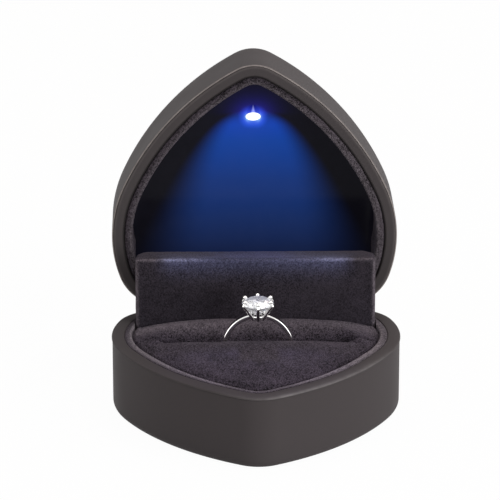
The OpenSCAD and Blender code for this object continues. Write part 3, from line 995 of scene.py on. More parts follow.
@dataclass
class Shell:
    """One moulded half of the case: cavity, beaded rim, drafted wall and rounded outer edge."""

    node: str
    half: Half
    height: float
    edge_r: float
    cavity: tuple[tuple[float, float], ...]
    rim: RimEdge
    wall: float = 3.2
    wall_in: float = 0.16
    draft: float = 0.08
    inner_r: float = 0.26
    face: tuple[float, float] = (0.6, 1.2)
    bead_r: float = 0.3
    bead_h: float = 0.46
    groove_w: float = 0.1
    groove_deep: float = 0.85
    brow_r: float = 0.26
    seam: float = 0.06
    notch_w: float = 37.8
    notch_y: tuple[float, float] = (-4.15, 3.2)
    notch_z: float = 1.75

    def proud_line(self) -> list[RimPoint]:
        """A bead on the outside with a painted highlight, over a shallow groove with painted shade.

        Returns:
            Points from the rim's face outwards and down.
        """
        r, deep, low = self.bead_r, self.wall_in + self.seam, self.bead_h + self.groove_w
        # The bead's rounding gets a painted highlight, the groove under it painted shade.
        line = [RimPoint(r * (1 - math.sin(a)), r * (1 - math.cos(a)), 0.45) for a in quarter(6)]
        line += [RimPoint(0.0, self.bead_h), RimPoint(deep, self.bead_h + 0.03, 0.0, 0.2)]
        return line + [RimPoint(deep, low, 0.0, 0.2), RimPoint(self.wall_in, low + 0.04)]

    def sunk_line(self) -> list[RimPoint]:
        """A bead on the inside with a faint painted highlight, a groove with painted shade, and a painted
        highlight on the rounding of the wall.

        Returns:
            Points from the rim's face outwards and down.
        """
        r, brow = self.bead_r, self.brow_r
        bead = self.wall_in + brow + self.groove_w
        line = [RimPoint(bead + r * (1 - math.sin(a)), r * (1 - math.cos(a)), 0.1) for a in quarter(6)]
        # The groove's walls and floor get painted shade.
        line += [RimPoint(bead, r + self.seam, 0.0, 0.4), RimPoint(bead, self.groove_deep, 0.0, 0.6)]
        line += [RimPoint(bead - self.groove_w, self.groove_deep, 0.0, 0.6)]
        line += [RimPoint(bead - self.groove_w, r + self.seam, 0.3)]
        # The wall's rounded brow gets a strong painted highlight, a bright line past the groove.
        for a in quarter(6):
            spot = (self.wall_in + brow * (1 - math.sin(a)), r + brow * (1 - math.cos(a)))
            line.append(RimPoint(*spot, 1.0 - 0.25 * a))
        return line + [RimPoint(self.wall_in, r + brow + 2 * self.seam)]

    def profile(self) -> list[RimPoint]:
        """The section from the cavity over the rim to the outer face.

        Returns:
            The points, in order.
        """
        r, (inner, outer) = self.inner_r, self.face
        proud = self.rim is RimEdge.PROUD
        edge = self.proud_line() if proud else self.sunk_line()
        # The lid gets painted shade in the crease at the cavity's rounded edge, the base a faint painted
        # highlight near the outer edge of its rim face.
        dark, painted_highlight = (0.0, 0.14) if proud else (0.8, 0.0)
        line = [RimPoint(*spot) for spot in self.cavity]
        line += [RimPoint(self.wall, 1.2), RimPoint(self.wall, r + 0.1)]
        for a in quarter(4):
            line.append(RimPoint(self.wall - r * (1 - math.cos(a)), r * (1 - math.sin(a)), 0.0, dark))
        line += [RimPoint(self.wall - inner, 0.0), RimPoint(outer, 0.0, painted_highlight), *edge]
        start, low = line[-1].depth + self.seam, self.height - self.edge_r
        line += [RimPoint(self.wall_in + self.draft * k / 6, start + (low - start) * k / 6) for k in range(6)]
        r, lean = self.edge_r, self.wall_in + self.draft
        line += [RimPoint(lean + r * (1 - math.cos(a)), low + r * math.sin(a)) for a in quarter(12)]
        return line + [RimPoint(lean + r + 0.8, self.height)]

    def paint_highlight_and_shade(self, mesh: Mesh, rings: list[np.ndarray], line: list[RimPoint]) -> None:
        """Stores the painted highlight and the painted shade at each vertex, as at the nearest ring.

        Args:
            mesh: the shell's mesh in metres.
            rings: the rings that it was lofted from, in millimetres.
            line: the point of the section that each ring follows.
        """
        tree = KDTree(sum(len(ring) for ring in rings))
        owner = [spot for ring, spot in zip(rings, line) for _ in ring]
        for index, point in enumerate(np.concatenate(rings)):
            tree.insert(point, index)
        tree.balance()
        points = points_of(mesh) / MM
        nearest = [owner[tree.find(p)[1]] for p in points]
        painted_highlight = np.array([spot.painted_highlight for spot in nearest])
        if self.rim is RimEdge.PROUD:
            x, y, _ = points.T
            # On the base the painted highlight is strongest at the tip and along the right front, where the
            # key light catches the bead.
            tip, front = fade(y, -62.0, -56.0), fade(y, -46.0, -24.0)
            painted_highlight *= 0.04 + 0.26 * tip + 0.75 * smooth(x, -2.0, 8.0) * front
        give_attribute(mesh, "painted_highlight", painted_highlight)
        give_attribute(mesh, "painted_shade", np.array([spot.painted_shade for spot in nearest]))

    def make(self, finish: Material) -> Thing:
        """Builds, cuts and dresses the shell.

        Args:
            finish: its material.

        Returns:
            The piece.
        """
        line, up, half_w = self.profile(), self.half.up, self.notch_w / 2
        rings = [OUTLINE.ring(spot.inset, -up * spot.depth) for spot in line]
        thing = new_object(self.node + "_coat", mesh_from(self.node, *loft(rings)))
        z = sorted((-up * self.notch_z, up))
        cut_block(thing, (-half_w, self.notch_y[0], z[0]), (half_w, self.notch_y[1], z[1]))
        self.paint_highlight_and_shade(thing.data, rings, line)
        if self.half is BASE:
            OUTLINE.draw_in(thing.data)
        return settle(thing, finish, self.node, self.half.body, self.half.place)


@dataclass
class VelvetLip:
    """Velvet lip inside the wall of one half, from one end of the hinge block round the tip to the other.

    The painted sheen along the crest is given at the left and at the right, and behind holds
    the depths of two points on the hidden side.
    """

    node: str
    half: Half
    depth: float
    seed: float
    shoulder: float
    outer: float = 3.24
    inner: float = 5.3
    crest: float = 0.08
    edge_r: float = 1.0
    painted_sheen: tuple[float, float] = (0.95, 1.1)
    spacing: float = 0.42
    open_w: float = 60.1
    open_y: float = -21.6
    behind: tuple[float, float] = (8.0, 1.2)
    pile: float = 0.07

    def profile(self) -> list[tuple[float, float]]:
        """Closed section as inset and depth below the rim.

        Returns:
            The points, in order.
        """
        wide, drop = self.shoulder, self.shoulder * 0.9
        start, low = self.outer, self.crest + drop
        line = [(start, drop + 0.5), (start, low)]
        for a in quarter(4)[1:]:
            line.append((start + wide * (1 - math.cos(a)), self.crest + drop * (1 - math.sin(a))))
        x, r = self.inner - self.edge_r, self.edge_r
        y = self.crest + 0.02 + r
        line += [(x, self.crest + 0.02)]
        line += [(x + r * math.sin(a), y - r * math.cos(a)) for a in quarter(5)[1:]]
        line += [(self.inner, float(d)) for d in np.arange(y + self.spacing, self.depth - 0.2, self.spacing)]
        return line + [(self.inner, self.depth), *((start, d) for d in (self.depth, *self.behind))]

    def painted_sheen_at(self, local: np.ndarray, depth: np.ndarray) -> np.ndarray:
        """The painted sheen at each point: along the crest, more at the right and less at the base's tip, and
        down the lit face at the right.

        Args:
            local: the lip's points in millimetres, before they are drawn in.
            depth: how far each lies below the rim.

        Returns:
            One number per point, 0 for dark pile.
        """
        x, y, _ = local.T
        left, right = self.painted_sheen
        at, side = self.inner - 0.42, left + (right - left) * smooth(x, -5.0, 25.0)
        if self.half is BASE:
            at = at - 0.5 * fade(y, -32.0, -18.0)
            side *= 1.0 - 0.45 * fade(np.abs(x), 5.0, 13.0) * (y < -30.0)
        crest = bell(OUTLINE.depth_of(local) - at, 0.5) * bell(depth - 0.3, 0.7)
        return np.maximum(side * crest, 0.35 * right * smooth(x, 8.0, 28.0) * fade(depth, 1.0, 3.0))

    def make(self, finish: Material) -> Thing:
        """Builds, cuts and dresses the lip.

        Args:
            finish: its material.

        Returns:
            The piece.
        """
        up, half_w = self.half.up, self.open_w / 2
        rings = [OUTLINE.ring(inset, -up * depth, self.spacing) for inset, depth in self.profile()]
        thing = new_object(self.node + "_velvet", mesh_from(self.node, *loft(rings, closed=True)))
        z = sorted((-up * (self.depth + 2), up * 2.0))
        cut_block(thing, (-half_w, self.open_y, z[0]), (half_w, 2.0, z[1]))
        local = points_of(thing.data) / MM
        depth = -up * local[:, 2]
        give_attribute(thing.data, "painted_sheen", self.painted_sheen_at(local, depth))
        if self.half is BASE:
            OUTLINE.draw_in(thing.data)
        raise_pile(thing.data, self.pile, self.seed, fade(depth, self.depth - 3.0, self.depth - 1.0))
        settle(thing, finish, self.node, self.half.body, self.half.place, 60.0)
        return thing


@dataclass
class RingCushion:
    """Velvet cushion: a crowned front, a slot for the band and a roll that falls into the slot."""

    inset: float = 5.42
    rear_y: float = 10.8
    height: float = 12.0
    drop: float = 0.6
    edge_r: float = 1.5
    edge_less: float = 0.6
    front_crown: float = 0.8
    rear_crown: float = 2.1
    slot_y: float = 21.6
    slot_w: float = 2.3
    slot_len: float = 47.4
    crease_h: float = 0.45
    front_roll: float = 0.8
    rear_roll: tuple[float, float] = (7.4, 4.6)
    rear_edge: float = 0.5
    slot_depth: float = 11.2
    columns: int = 168
    row_gap: float = 0.4
    pile: float = 0.04
    trial_scale: float = 25.0
    trial_frames: int = 16
    swell: float = 0.4
    unevenness: float = 0.22

    def heights(self, x: np.ndarray, y: np.ndarray, front: bool) -> np.ndarray:
        """Height of the top surface of the part in front of the slot or behind it.

        Past the slot's ends the two parts are one surface.

        Args:
            x: places across the cushion.
            y: places along it, one to each x.
            front: asks for the part in front of the slot.

        Returns:
            One height per place.
        """
        flat, wide, end = np.stack([x, y], 1), np.abs(x), self.slot_len / 2
        past, ends = smooth(wide, end - 6.0, end + 0.6), smooth(wide, end - 2.0, end + 0.8)
        crease = -self.slot_y + 0.8 - 1.2 * np.clip(wide - end + 0.5, 0.0, 6.0)
        blur = 0.9 + 3.5 * smooth(wide, end - 0.5, end + 5.0)
        rise = self.crease_h * smooth(wide, end - 4.0, end) * fade(wide, end + 1.0, end + 6.0)
        rise = rise * fade(y, crease + 2.0, crease + 6.0)
        behind = smooth(y, crease - blur, crease + blur) * past
        behind += (0.0 if front else 1.0) * (1.0 - past)
        z = rise * behind - self.drop
        for crown, peak, share, power in (
            (self.front_crown, self.slot_y + 4.0, 1.0 - behind, 2),
            (self.rear_crown, self.rear_y + 2.0, behind, 4),
        ):
            reach = np.clip(OUTLINE.share_of(flat, self.inset + self.edge_r, -peak), 0.0, 1.0)
            z += share * crown * (1.0 - reach**power)
        edge_r = self.edge_r - self.edge_less * smooth(y, -38.0, -24.0)
        inside = np.clip(OUTLINE.depth_of(flat, self.inset), 0.0, edge_r)
        z -= edge_r - np.sqrt(edge_r**2 - (edge_r - inside) ** 2)
        if front:
            near = np.clip(-y - (self.slot_y + self.slot_w / 2), 0.0, None)
            return z - self.fold(near, self.front_roll, self.front_roll) * (1.0 - ends)
        near = np.clip(y + self.slot_y - self.slot_w / 2, 0.0, None)
        run, fall = self.rear_roll
        z -= self.fold(near, run * (1.0 - 0.66 * smooth(wide, 6.0, end)), fall) * (1.0 - ends)
        return z - self.fold(np.clip(-y - self.rear_y, 0.0, None), self.rear_edge, self.rear_edge)

    @staticmethod
    def fold(near: np.ndarray, run: np.ndarray | float, fall: float) -> np.ndarray:
        """How far a rolled edge has dropped at a distance from it, over a run and a fall."""
        left = 1.0 - np.clip(near / run, 0.0, 1.0)
        return fall * (1.0 - np.sqrt(1.0 - left**2))

    def row(self, y: float, z: float | None = None, front: bool = False) -> np.ndarray:
        """Points across the cushion at y, level at z or, without it, on the top surface.

        Args:
            y: where the row lies.
            z: its height, if it is level.
            front: takes it from the part in front of the slot.

        Returns:
            An (n, 3) array, from left to right.
        """
        bend = math.pi / 2 * 0.9
        x = np.sin(np.linspace(-1.0, 1.0, self.columns) * bend) / math.sin(bend)
        x = x * OUTLINE.half_width(y, self.inset)
        y = np.full_like(x, y)
        return np.stack([x, y, self.heights(x, y, front) if z is None else np.full_like(x, z)], 1)

    def slot(self, behind: np.ndarray, before: np.ndarray) -> list[np.ndarray]:
        """The rows down into the slot and up again, between its two lips, whose ends it draws together.

        Args:
            behind: the row along the rear lip, changed in place.
            before: the row along the front lip, changed in place.

        Returns:
            The rows between the two, in order.
        """
        ends = np.clip(1.0 - (np.abs(before[:, 0]) / (self.slot_len / 2)) ** 6, 0.0, 1.0)
        middle = 0.5 * (behind[:, 1] + before[:, 1])
        for lip in (behind, before):
            lip[:, 1] = middle + (lip[:, 1] - middle) * np.maximum(ends**0.5, 0.12)
        floor = -self.drop - self.slot_depth * ends**0.35
        floor = np.minimum(floor, np.minimum(behind[:, 2], before[:, 2]) - 0.02)
        down = np.concatenate([np.linspace(0.02, 0.3, 5), np.linspace(0.42, 1.0, 7)])
        walls = [
            [np.stack([*lip[:, :2].T, lip[:, 2] + (floor - lip[:, 2]) * share], 1) for share in shares]
            for lip, shares in ((behind, down), (before, down[::-1]))
        ]
        bed = [behind * (1 - share) + before * share for share in (0.33, 0.67)]
        for line in bed:
            line[:, 2] = floor - 0.15 * ends
        return walls[0] + bed + walls[1]

    def rows(self, bottom: float) -> list[np.ndarray]:
        """All rows from the foot of the rear face over the top to the foot of the tip.

        Args:
            bottom: height of the underside.

        Returns:
            The rows, in order.
        """
        half_slot, tip_y = self.slot_w / 2, -(OUTLINE.length - self.inset)
        behind_y, before_y = -(self.slot_y - half_slot), -(self.slot_y + half_slot)
        back = np.concatenate([[0.0, 0.12, 0.3, 0.6], np.arange(0.95, 9.3, self.row_gap)])
        rear_y = [-self.rear_y - d for d in back] + [behind_y + d for d in (0.3, 0.12, 0.03, 0.0)]
        away = np.concatenate([[0.0, 0.06, 0.16, 0.32, 0.54, 0.8, 1.1], np.arange(1.5, 200.0, self.row_gap)])
        front_y = [before_y - d for d in away if before_y - d > tip_y + 1.6]
        front_y += [tip_y + d for d in (1.3, 1.0, 0.7, 0.45, 0.25, 0.1, 0.02)]
        rear, front = [self.row(y) for y in rear_y], [self.row(y, front=True) for y in front_y]
        rows = [self.row(-self.rear_y, z) for z in (bottom, bottom / 2, -self.drop - 1.6)]
        rows += rear + self.slot(rear[-1], front[0]) + front
        x = rows[-1][:, 0]
        for z in (-self.drop - self.edge_r - 0.6, bottom / 2, bottom):
            rows.append(np.stack([x, np.full_like(x, tip_y), np.full_like(x, z)], 1))
        return rows

    def close(self, rows: list[np.ndarray], bottom: float) -> Mesh:
        """Joins the rows and drops a skirt and a floor round them.

        Args:
            rows: the rows, in order.
            bottom: height of the underside.

        Returns:
            The mesh in metres.
        """
        count, across = len(rows), len(rows[0])
        points, feet = [np.concatenate(rows)], []
        starts = [k * across + i for k in range(count - 1) for i in range(across - 1)]
        faces = [[a, a + 1, a + across + 1, a + across] for a in starts]
        base = count * across
        for side in (0, across - 1):
            line = np.array([row[side] for row in rows])
            previous = [k * across + side for k in range(count)]
            for z in (-self.drop - self.edge_r - 0.3, bottom / 2, bottom):
                lower = line.copy()
                lower[:, 2] = np.minimum(lower[:, 2], z)
                points.append(lower)
                current = list(range(base, base + count))
                base += count
                for k in range(count - 1):
                    quad = [previous[k], previous[k + 1], current[k + 1], current[k]]
                    faces.append(quad if side else quad[::-1])
                previous = current
            feet.append(previous)
        rear = list(range(1, across - 1))
        front = [(count - 1) * across + i for i in rear]
        faces.append(feet[0] + front + feet[1][::-1] + rear[::-1])
        return mesh_from("ring_cushion", np.concatenate(points), faces)

    def relax(self, mesh: Mesh) -> None:
        """Gives the top a slight unevenness.

        Args:
            mesh: mesh in metres, changed in place.
        """
        p = points_of(mesh) / MM
        sway = np.array([noise.noise(Vector((x, y, 3.0)) * 0.11) for x, y in p[:, :2]])
        p[:, 2] += smooth(p[:, 2], -3.2, -1.2) * self.unevenness * sway
        set_points(mesh, p * MM)

    def looseness(self, p: np.ndarray) -> np.ndarray:
        """How free each point is to move: 0 at the rear edge, round the slot, at the walls and below.

        Args:
            p: (n, 3) array of points in millimetres.

        Returns:
            One number per point, 1 where it is free.
        """
        rear = smooth(-p[:, 1], self.rear_y + 0.6, self.rear_y + 3.0)
        slot = smooth(np.abs(p[:, 1] + self.slot_y), self.slot_w / 2 + 0.1, self.slot_w / 2 + 1.8)
        slot = np.maximum(slot, smooth(np.abs(p[:, 0]), self.slot_len / 2, self.slot_len / 2 + 2.0))
        edge = smooth(OUTLINE.depth_of(p, self.inset), 0.6, 2.2)
        return rear * slot * edge * smooth(p[:, 2], -4.0, -2.6)

    def fill(self, mesh: Mesh) -> None:
        """Presses the velvet out over its filling.

        A cloth run on an enlarged copy gives the movement, which the mesh takes over up to swell.

        Args:
            mesh: mesh in metres.
        """
        p = points_of(mesh) / MM
        loose = self.looseness(p)
        trial = new_object("cushion_trial", mesh.copy())
        set_points(trial.data, p * MM * self.trial_scale)
        pins = trial.vertex_groups.new(name="pins")
        for index, weight in enumerate(1.0 - loose):
            pins.add([index], float(weight), "REPLACE")
        cloth = trial.modifiers.new("cloth", "CLOTH")
        cloth.settings.vertex_group_mass = pins.name
        cloth.settings.quality, cloth.settings.mass = 4, 0.3
        cloth.settings.use_pressure, cloth.settings.uniform_pressure_force = True, 4.0
        cloth.settings.effector_weights.gravity = 0.0
        cloth.collision_settings.use_collision = cloth.collision_settings.use_self_collision = False
        scene = bpy.context.scene
        for frame in range(1, self.trial_frames + 1):
            scene.frame_set(frame)
        filled = trial.evaluated_get(bpy.context.evaluated_depsgraph_get()).to_mesh()
        moved = points_of(filled) / MM / self.trial_scale - p
        bpy.data.objects.remove(trial)
        scene.frame_set(1)
        length = np.maximum(np.linalg.norm(moved, axis=1), 1e-6)
        moved *= (np.tanh(length / self.swell) * self.swell / length * loose)[:, None]
        LOG.info("cushion filled: moved by at most %.2f mm", float(np.linalg.norm(moved, axis=1).max()))
        set_points(mesh, (p + moved) * MM)

    def painted_sheen_at(self, local: np.ndarray) -> np.ndarray:
        """The painted sheen at each point: a pale line along the slot's front lip, and over the roll behind
        it, more at the left.

        Args:
            local: (n, 3) array of points in millimetres.

        Returns:
            One number per point, 0 for dark pile.
        """
        x, y, z = local.T
        crest = bell(y + self.slot_y + self.slot_w / 2 + 0.25, 0.3)
        lip = 0.6 * crest * (z > -1.6) * fade(np.abs(x), 20.5, 23.5)
        roll = smooth(y, -self.slot_y + 1.6, -self.slot_y + 8.0) * smooth(z, -3.8, 0.5)
        return np.maximum(lip, roll * (0.66 + 0.55 * smooth(-x, -2.0, 12.0)))

    def make(self, finish: Material) -> Thing:
        """Builds and dresses the cushion.

        Args:
            finish: its material.

        Returns:
            The piece.
        """
        bottom = -self.drop - self.height
        mesh = self.close(self.rows(bottom), bottom)
        self.relax(mesh)
        self.fill(mesh)
        give_attribute(mesh, "painted_sheen", self.painted_sheen_at(points_of(mesh) / MM))
        OUTLINE.draw_in(mesh)
        raise_pile(mesh, self.pile, 4.7)
        thing = new_object("ring_cushion_velvet", mesh)
        settle(thing, finish, "ring_cushion", Body.BASE, BASE_PLACE, 75.0)
        return thing


@dataclass
class HingeCover:
    """Velvet block across the rear that hides the hinge."""

    half_w: float = 30.0
    front: float = 10.65
    back: float = 4.45
    top: float = 17.3
    foot: float = -16.8
    edge_r: float = 0.9
    gap: float = 0.42
    clear: float = 3.5
    pile: float = 0.07

    def back_at(self, x: float) -> float:
        """Depth of the rear face at x, which follows the round of the shells near the ends.

        Args:
            x: place across the block.

        Returns:
            How far the face lies in front of y = 0.
        """
        (cx, cy), r, _, _ = OUTLINE.arcs()[-1]
        if abs(x) <= cx:
            return self.back
        reach = max((r - self.clear) ** 2 - (abs(x) - cx) ** 2, 0.0)
        return max(self.back, -cy - math.sqrt(reach))

    def section(self, x: float, inset: float) -> np.ndarray:
        """Rounded section of the block at x, inset.

        Args:
            x: place across the block.
            inset: how far inside its faces the section runs.

        Returns:
            An (n, 3) array in millimetres.
        """
        y0, y1 = -self.front + inset, -self.back_at(x) - inset
        z0, z1 = self.foot + inset, self.top - inset
        middle = (y0 + y1) / 2
        y0, y1 = min(y0, middle - 0.02), max(y1, middle + 0.02)
        r = min(max(self.edge_r - inset * 0.2, 0.3), (y1 - y0) / 2 - 0.005)
        rise = np.concatenate([np.linspace(z0, -2.0, 5)[:-1], np.linspace(-2.0, z1 - r, 44)])
        line = [(y0, z) for z in rise[:-1]]
        line += [(y0 + r * (1 - math.cos(a)), z1 - r + r * math.sin(a)) for a in quarter(4)]
        line += [(y, z1) for y in np.linspace(y0 + r, y1 - r, 12)[1:-1]]
        line += [(y1 - r * (1 - math.sin(a)), z1 - r + r * math.cos(a)) for a in quarter(4)]
        line += [(y1, z) for z in rise[-2::-1]]
        line += [(y, z0) for y in np.linspace(y1, y0, 6)[1:-1]]
        return np.array([(x, y, z) for y, z in line])

    def make(self, finish: Material) -> Thing:
        """Builds and dresses the block, whose ends are rounded over and closed in steps.

        Args:
            finish: its material.

        Returns:
            The piece.
        """
        flat = self.half_w - self.edge_r
        ends = [(flat + self.edge_r * math.sin(a), self.edge_r * (1 - math.cos(a))) for a in quarter(4)[1:]]
        ends += [(self.half_w, self.edge_r + d) for d in (0.35, 0.75, 1.15, 1.5)]
        spots = [(-x, inset) for x, inset in reversed(ends)]
        spots += [(float(x), 0.0) for x in np.linspace(-flat, flat, int(2 * flat / self.gap))]
        mesh = mesh_from("hinge_cover", *loft([self.section(*spot) for spot in spots + ends]))
        x, y, z = (points_of(mesh) / MM).T
        # Painted sheen: pale pile along the block's front side edges and its top front edge, more towards the
        # ends.
        side = 0.9 * bell(np.abs(x) - self.half_w + 0.3, 0.45)
        brow = bell(z - self.top + 0.3, 0.34) * (0.06 + 0.62 * smooth(np.abs(x), 8.0, 22.0))
        give_attribute(mesh, "painted_sheen", bell(y + self.front - 0.3, 0.6) * np.maximum(side, brow))
        raise_pile(mesh, self.pile, 9.1)
        thing = new_object("hinge_cover_velvet", mesh)
        settle(thing, finish, "hinge_cover", Body.BASE, BASE_PLACE, 60.0)
        return thing


@dataclass
class Lamp:
    """The lid's lamp: a round barrel that leans out of the plate, with a domed face."""

    at_y: float = -45.2
    plate_z: float = 18.0
    lean: float = 45.0
    radius: float = 1.88
    out: float = 0.45
    dome: float = 0.6
    back: float = 2.4
    around: int = 56
    steps: int = 12

    def make(self) -> Thing:
        """Builds the lamp along +Z, and dresses it.

        Returns:
            The piece.
        """
        bow = (self.radius**2 + self.dome**2) / (2 * self.dome)
        line = [(self.radius * 0.98, -self.back), (self.radius, -self.back + 0.05), (self.radius, self.out)]
        for k in range(1, self.steps):
            r = self.radius * (1 - k / self.steps)
            line.append((r, self.out + self.dome - bow + math.sqrt(bow**2 - r**2)))
        turns = np.linspace(0.0, 2 * math.pi, self.around, endpoint=False)
        rings = [np.stack([r * np.cos(turns), r * np.sin(turns), np.full_like(turns, z)], 1) for r, z in line]
        at = Matrix.Translation(Vector((0.0, self.at_y, self.plate_z)) * MM)
        place = LID_PLACE @ at @ Matrix.Rotation(math.radians(-90.0 - self.lean), 4, "X")
        axis = (place.to_3x3() @ Vector((0.0, 0.0, 1.0))).normalized()
        thing = new_object("lamp_lens", mesh_from("lamp", *loft(rings)))
        glow = LampGlow(self.out, place.translation, axis).make()
        return settle(thing, glow, "lamp", Body.LID, place, 50.0)


class Recipe(Tree):
    """A Geometry Nodes tree with named inputs, run once and turned into a plain mesh."""

    def __init__(self, name: str) -> None:
        """Starts an empty tree.

        Args:
            name: the tree's name.
        """
        super().__init__(bpy.data.node_groups.new(name, "GeometryNodeTree"))
        self.tree.is_modifier = True
        self.source = self.node("NodeGroupInput")
        self.values: dict[str, object] = {}
        self.tree.interface.new_socket("Geometry", in_out="OUTPUT", socket_type="NodeSocketGeometry")

    def wants(self, name: str, value: object, kind: str = "Float") -> Socket:
        """Adds a named input with the value this part gives it.

        Args:
            name: the input's name.
            value: what it is set to.
            kind: type of its socket.

        Returns:
            The socket that brings it into the tree.
        """
        item = self.tree.interface.new_socket(name, in_out="INPUT", socket_type="NodeSocket" + kind)
        self.values[item.identifier] = value
        return self.source.outputs[item.identifier]

    def geo(self, kind: str, **values: object) -> Socket:
        """Result of a geometry node, whose inputs are named with underscores for spaces."""
        links = {name.replace("_", " "): value for name, value in values.items()}
        return self.node("GeometryNode" + kind, links).outputs[0]

    def join(self, *parts: Socket) -> Socket:
        """Joins geometries.

        Args:
            *parts: the geometries.

        Returns:
            All of them as one geometry.
        """
        made = self.node("GeometryNodeJoinGeometry")
        for part in parts:
            self.put(made.inputs[0], part)
        return made.outputs[0]

    def run(self, name: str, last: Socket, material: Material) -> Thing:
        """Realizes, dresses and mends the result.

        Args:
            name: name of the piece.
            last: geometry to turn into a mesh.
            material: finish that the tree sets.

        Returns:
            The piece, a plain mesh with no modifier.
        """
        finish = self.wants("Material", material, "Material")
        real = self.geo("RealizeInstances", Geometry=last)
        self.node("NodeGroupOutput", {0: self.geo("SetMaterial", Geometry=real, Material=finish)})
        thing = new_object(name, bpy.data.meshes.new(name))
        step = thing.modifiers.new("recipe", "NODES")
        step.node_group = self.tree
        for identifier, value in self.values.items():
            step[identifier] = value
        bake_modifiers(thing)
        mend(thing.data)
        return thing


@dataclass
class SolitaireRing:
    """Ring in the slot: band, six-prong setting and round brilliant. Its band's centre is the origin.

    The brilliant's slopes are in degrees and negative below the girdle.
    """

    slot_y: float = 21.6
    drop: float = 2.0
    aside: float = 0.4
    band_in: float = 7.8
    band_t: float = 1.12
    band_w: float = 1.7
    band_fillet: float = 0.3
    collar_r: float = 1.75
    collar_t: float = 0.34
    girdle_up: float = 2.6
    stone_r: float = 3.95
    prongs: int = 6
    prong_r: float = 0.42
    bead_r: float = 0.62
    table: float = 0.57
    girdle_h: float = 0.07
    crown_slope: float = 34.5
    star_slope: float = 21.0
    upper_slope: float = 40.0
    pavilion_slope: float = -40.75
    lower_slope: float = -42.3
    stone_turn: float = 7.0

    @property
    def girdle(self) -> float:
        """Height of the stone's girdle over the band's centre."""
        return self.band_in + self.band_t + self.girdle_up

    def settle(self, thing: Thing, finish: Material, node: str, slot: Slot, sharp: float) -> Thing:
        """Puts a finished piece of the ring in its place."""
        place = BASE_PLACE @ Matrix.Translation(Vector((self.aside, -self.slot_y, -self.drop)) * MM)
        return settle(thing, finish, node, Body.RING, place, sharp)

    def band(self, finish: Material) -> Thing:
        """Half-round band, open at the top where the collar sits.

        Args:
            finish: its material.

        Returns:
            The piece.
        """
        r = Recipe("band_recipe")
        mid = self.band_in + self.band_t / 2
        radius = r.wants("Mid radius", mid * MM)
        start = r.wants("Gap half angle", math.asin((self.collar_r - 0.1) / mid))
        thick = r.wants("Thickness", self.band_t * MM)
        width = r.wants("Width", self.band_w * MM)
        fillet = r.wants("Edge rounding", self.band_fillet * MM)
        turns = r.wants("Segments", 220, "Int")
        sweep = r.math("SUBTRACT", 2 * math.pi, r.math("MULTIPLY", start, 2.0))
        arc = r.geo("CurveArc", Resolution=turns, Radius=radius, Start_Angle=start, Sweep_Angle=sweep)
        quad = r.geo("CurvePrimitiveQuadrilateral", Width=thick, Height=width)
        soft = r.node("GeometryNodeFilletCurve", {"Curve": quad, "Radius": fillet, "Count": 6}, mode="POLY")
        tube = r.geo("CurveToMesh", Curve=arc, Profile_Curve=soft.outputs[0], Fill_Caps=True)
        stand = r.geo("Transform", Geometry=tube, Rotation=(math.pi / 2, -math.pi / 2, 0.0))
        thing = r.run("ring_band_polished", stand, finish)
        return self.settle(thing, finish, "ring_band", Slot.METAL, 40.0)

    def setting(self, finish: Material) -> Thing:
        """Collar with prongs that rise in a V and end in beads.

        Args:
            finish: its material.

        Returns:
            The piece.
        """
        r = Recipe("setting_recipe")
        foot = Vector((self.collar_r - self.prong_r, 0.0, self.band_in - 0.35)) * MM
        grip = Vector((self.stone_r + 0.16, 0.0, self.girdle - 0.1)) * MM
        knee = (foot * 0.45 + grip * 0.55) + Vector((-0.12, 0.0, 0.05)) * MM
        tip = Vector((self.stone_r - 0.32, 0.0, self.girdle + 0.86)) * MM
        low, bow = r.wants("Foot", foot, "Vector"), r.wants("Knee", knee, "Vector")
        side, end = r.wants("Grip", grip, "Vector"), r.wants("Tip", tip, "Vector")
        thick = r.wants("Prong radius", self.prong_r * MM)
        bead = r.wants("Bead radius", self.bead_r * MM)
        count = r.wants("Prongs", self.prongs, "Int")
        collar_r = r.wants("Collar radius", (self.collar_r - 0.36) * MM)
        collar_t = r.wants("Collar thickness", self.collar_t * MM)
        collar_z = r.wants("Collar height", Vector((0.0, 0.0, self.band_in + 0.42)) * MM, "Vector")
        bend = {"Start_Handle": bow, "End_Handle": side}
        leg = r.geo("CurvePrimitiveBezierSegment", Resolution=14, Start=low, End=side, **bend)
        path = r.join(leg, r.geo("CurvePrimitiveLine", Start=side, End=end))
        shape = r.geo("CurvePrimitiveCircle", Resolution=14, Radius=thick)
        rods = r.geo("CurveToMesh", Curve=path, Profile_Curve=shape, Fill_Caps=True)
        ball = r.geo("MeshUVSphere", Segments=18, Rings=12, Radius=bead)
        tops = r.geo("Transform", Geometry=ball, Translation=end, Scale=(1.0, 0.92, 0.86))
        elbow = r.geo("MeshUVSphere", Segments=14, Rings=8, Radius=thick)
        prong = r.join(rods, tops, r.geo("Transform", Geometry=elbow, Translation=side))
        share = r.math("ADD", r.node("GeometryNodeInputIndex").outputs[0], 0.5)
        angle = r.math("MULTIPLY", share, r.math("DIVIDE", 2 * math.pi, count))
        turn = r.node("ShaderNodeCombineXYZ", {2: angle}).outputs[0]
        ring = r.geo("InstanceOnPoints", Points=r.geo("Points", Count=count), Instance=prong, Rotation=turn)
        loop = r.geo("CurvePrimitiveCircle", Resolution=48, Radius=collar_r)
        slim = r.geo("CurvePrimitiveCircle", Resolution=12, Radius=collar_t)
        hoop = r.geo("CurveToMesh", Curve=loop, Profile_Curve=slim)
        whole = r.join(ring, r.geo("Transform", Geometry=hoop, Translation=collar_z))
        thing = r.run("ring_setting_polished", whole, finish)
        return self.settle(thing, finish, "ring_setting", Slot.METAL, 50.0)

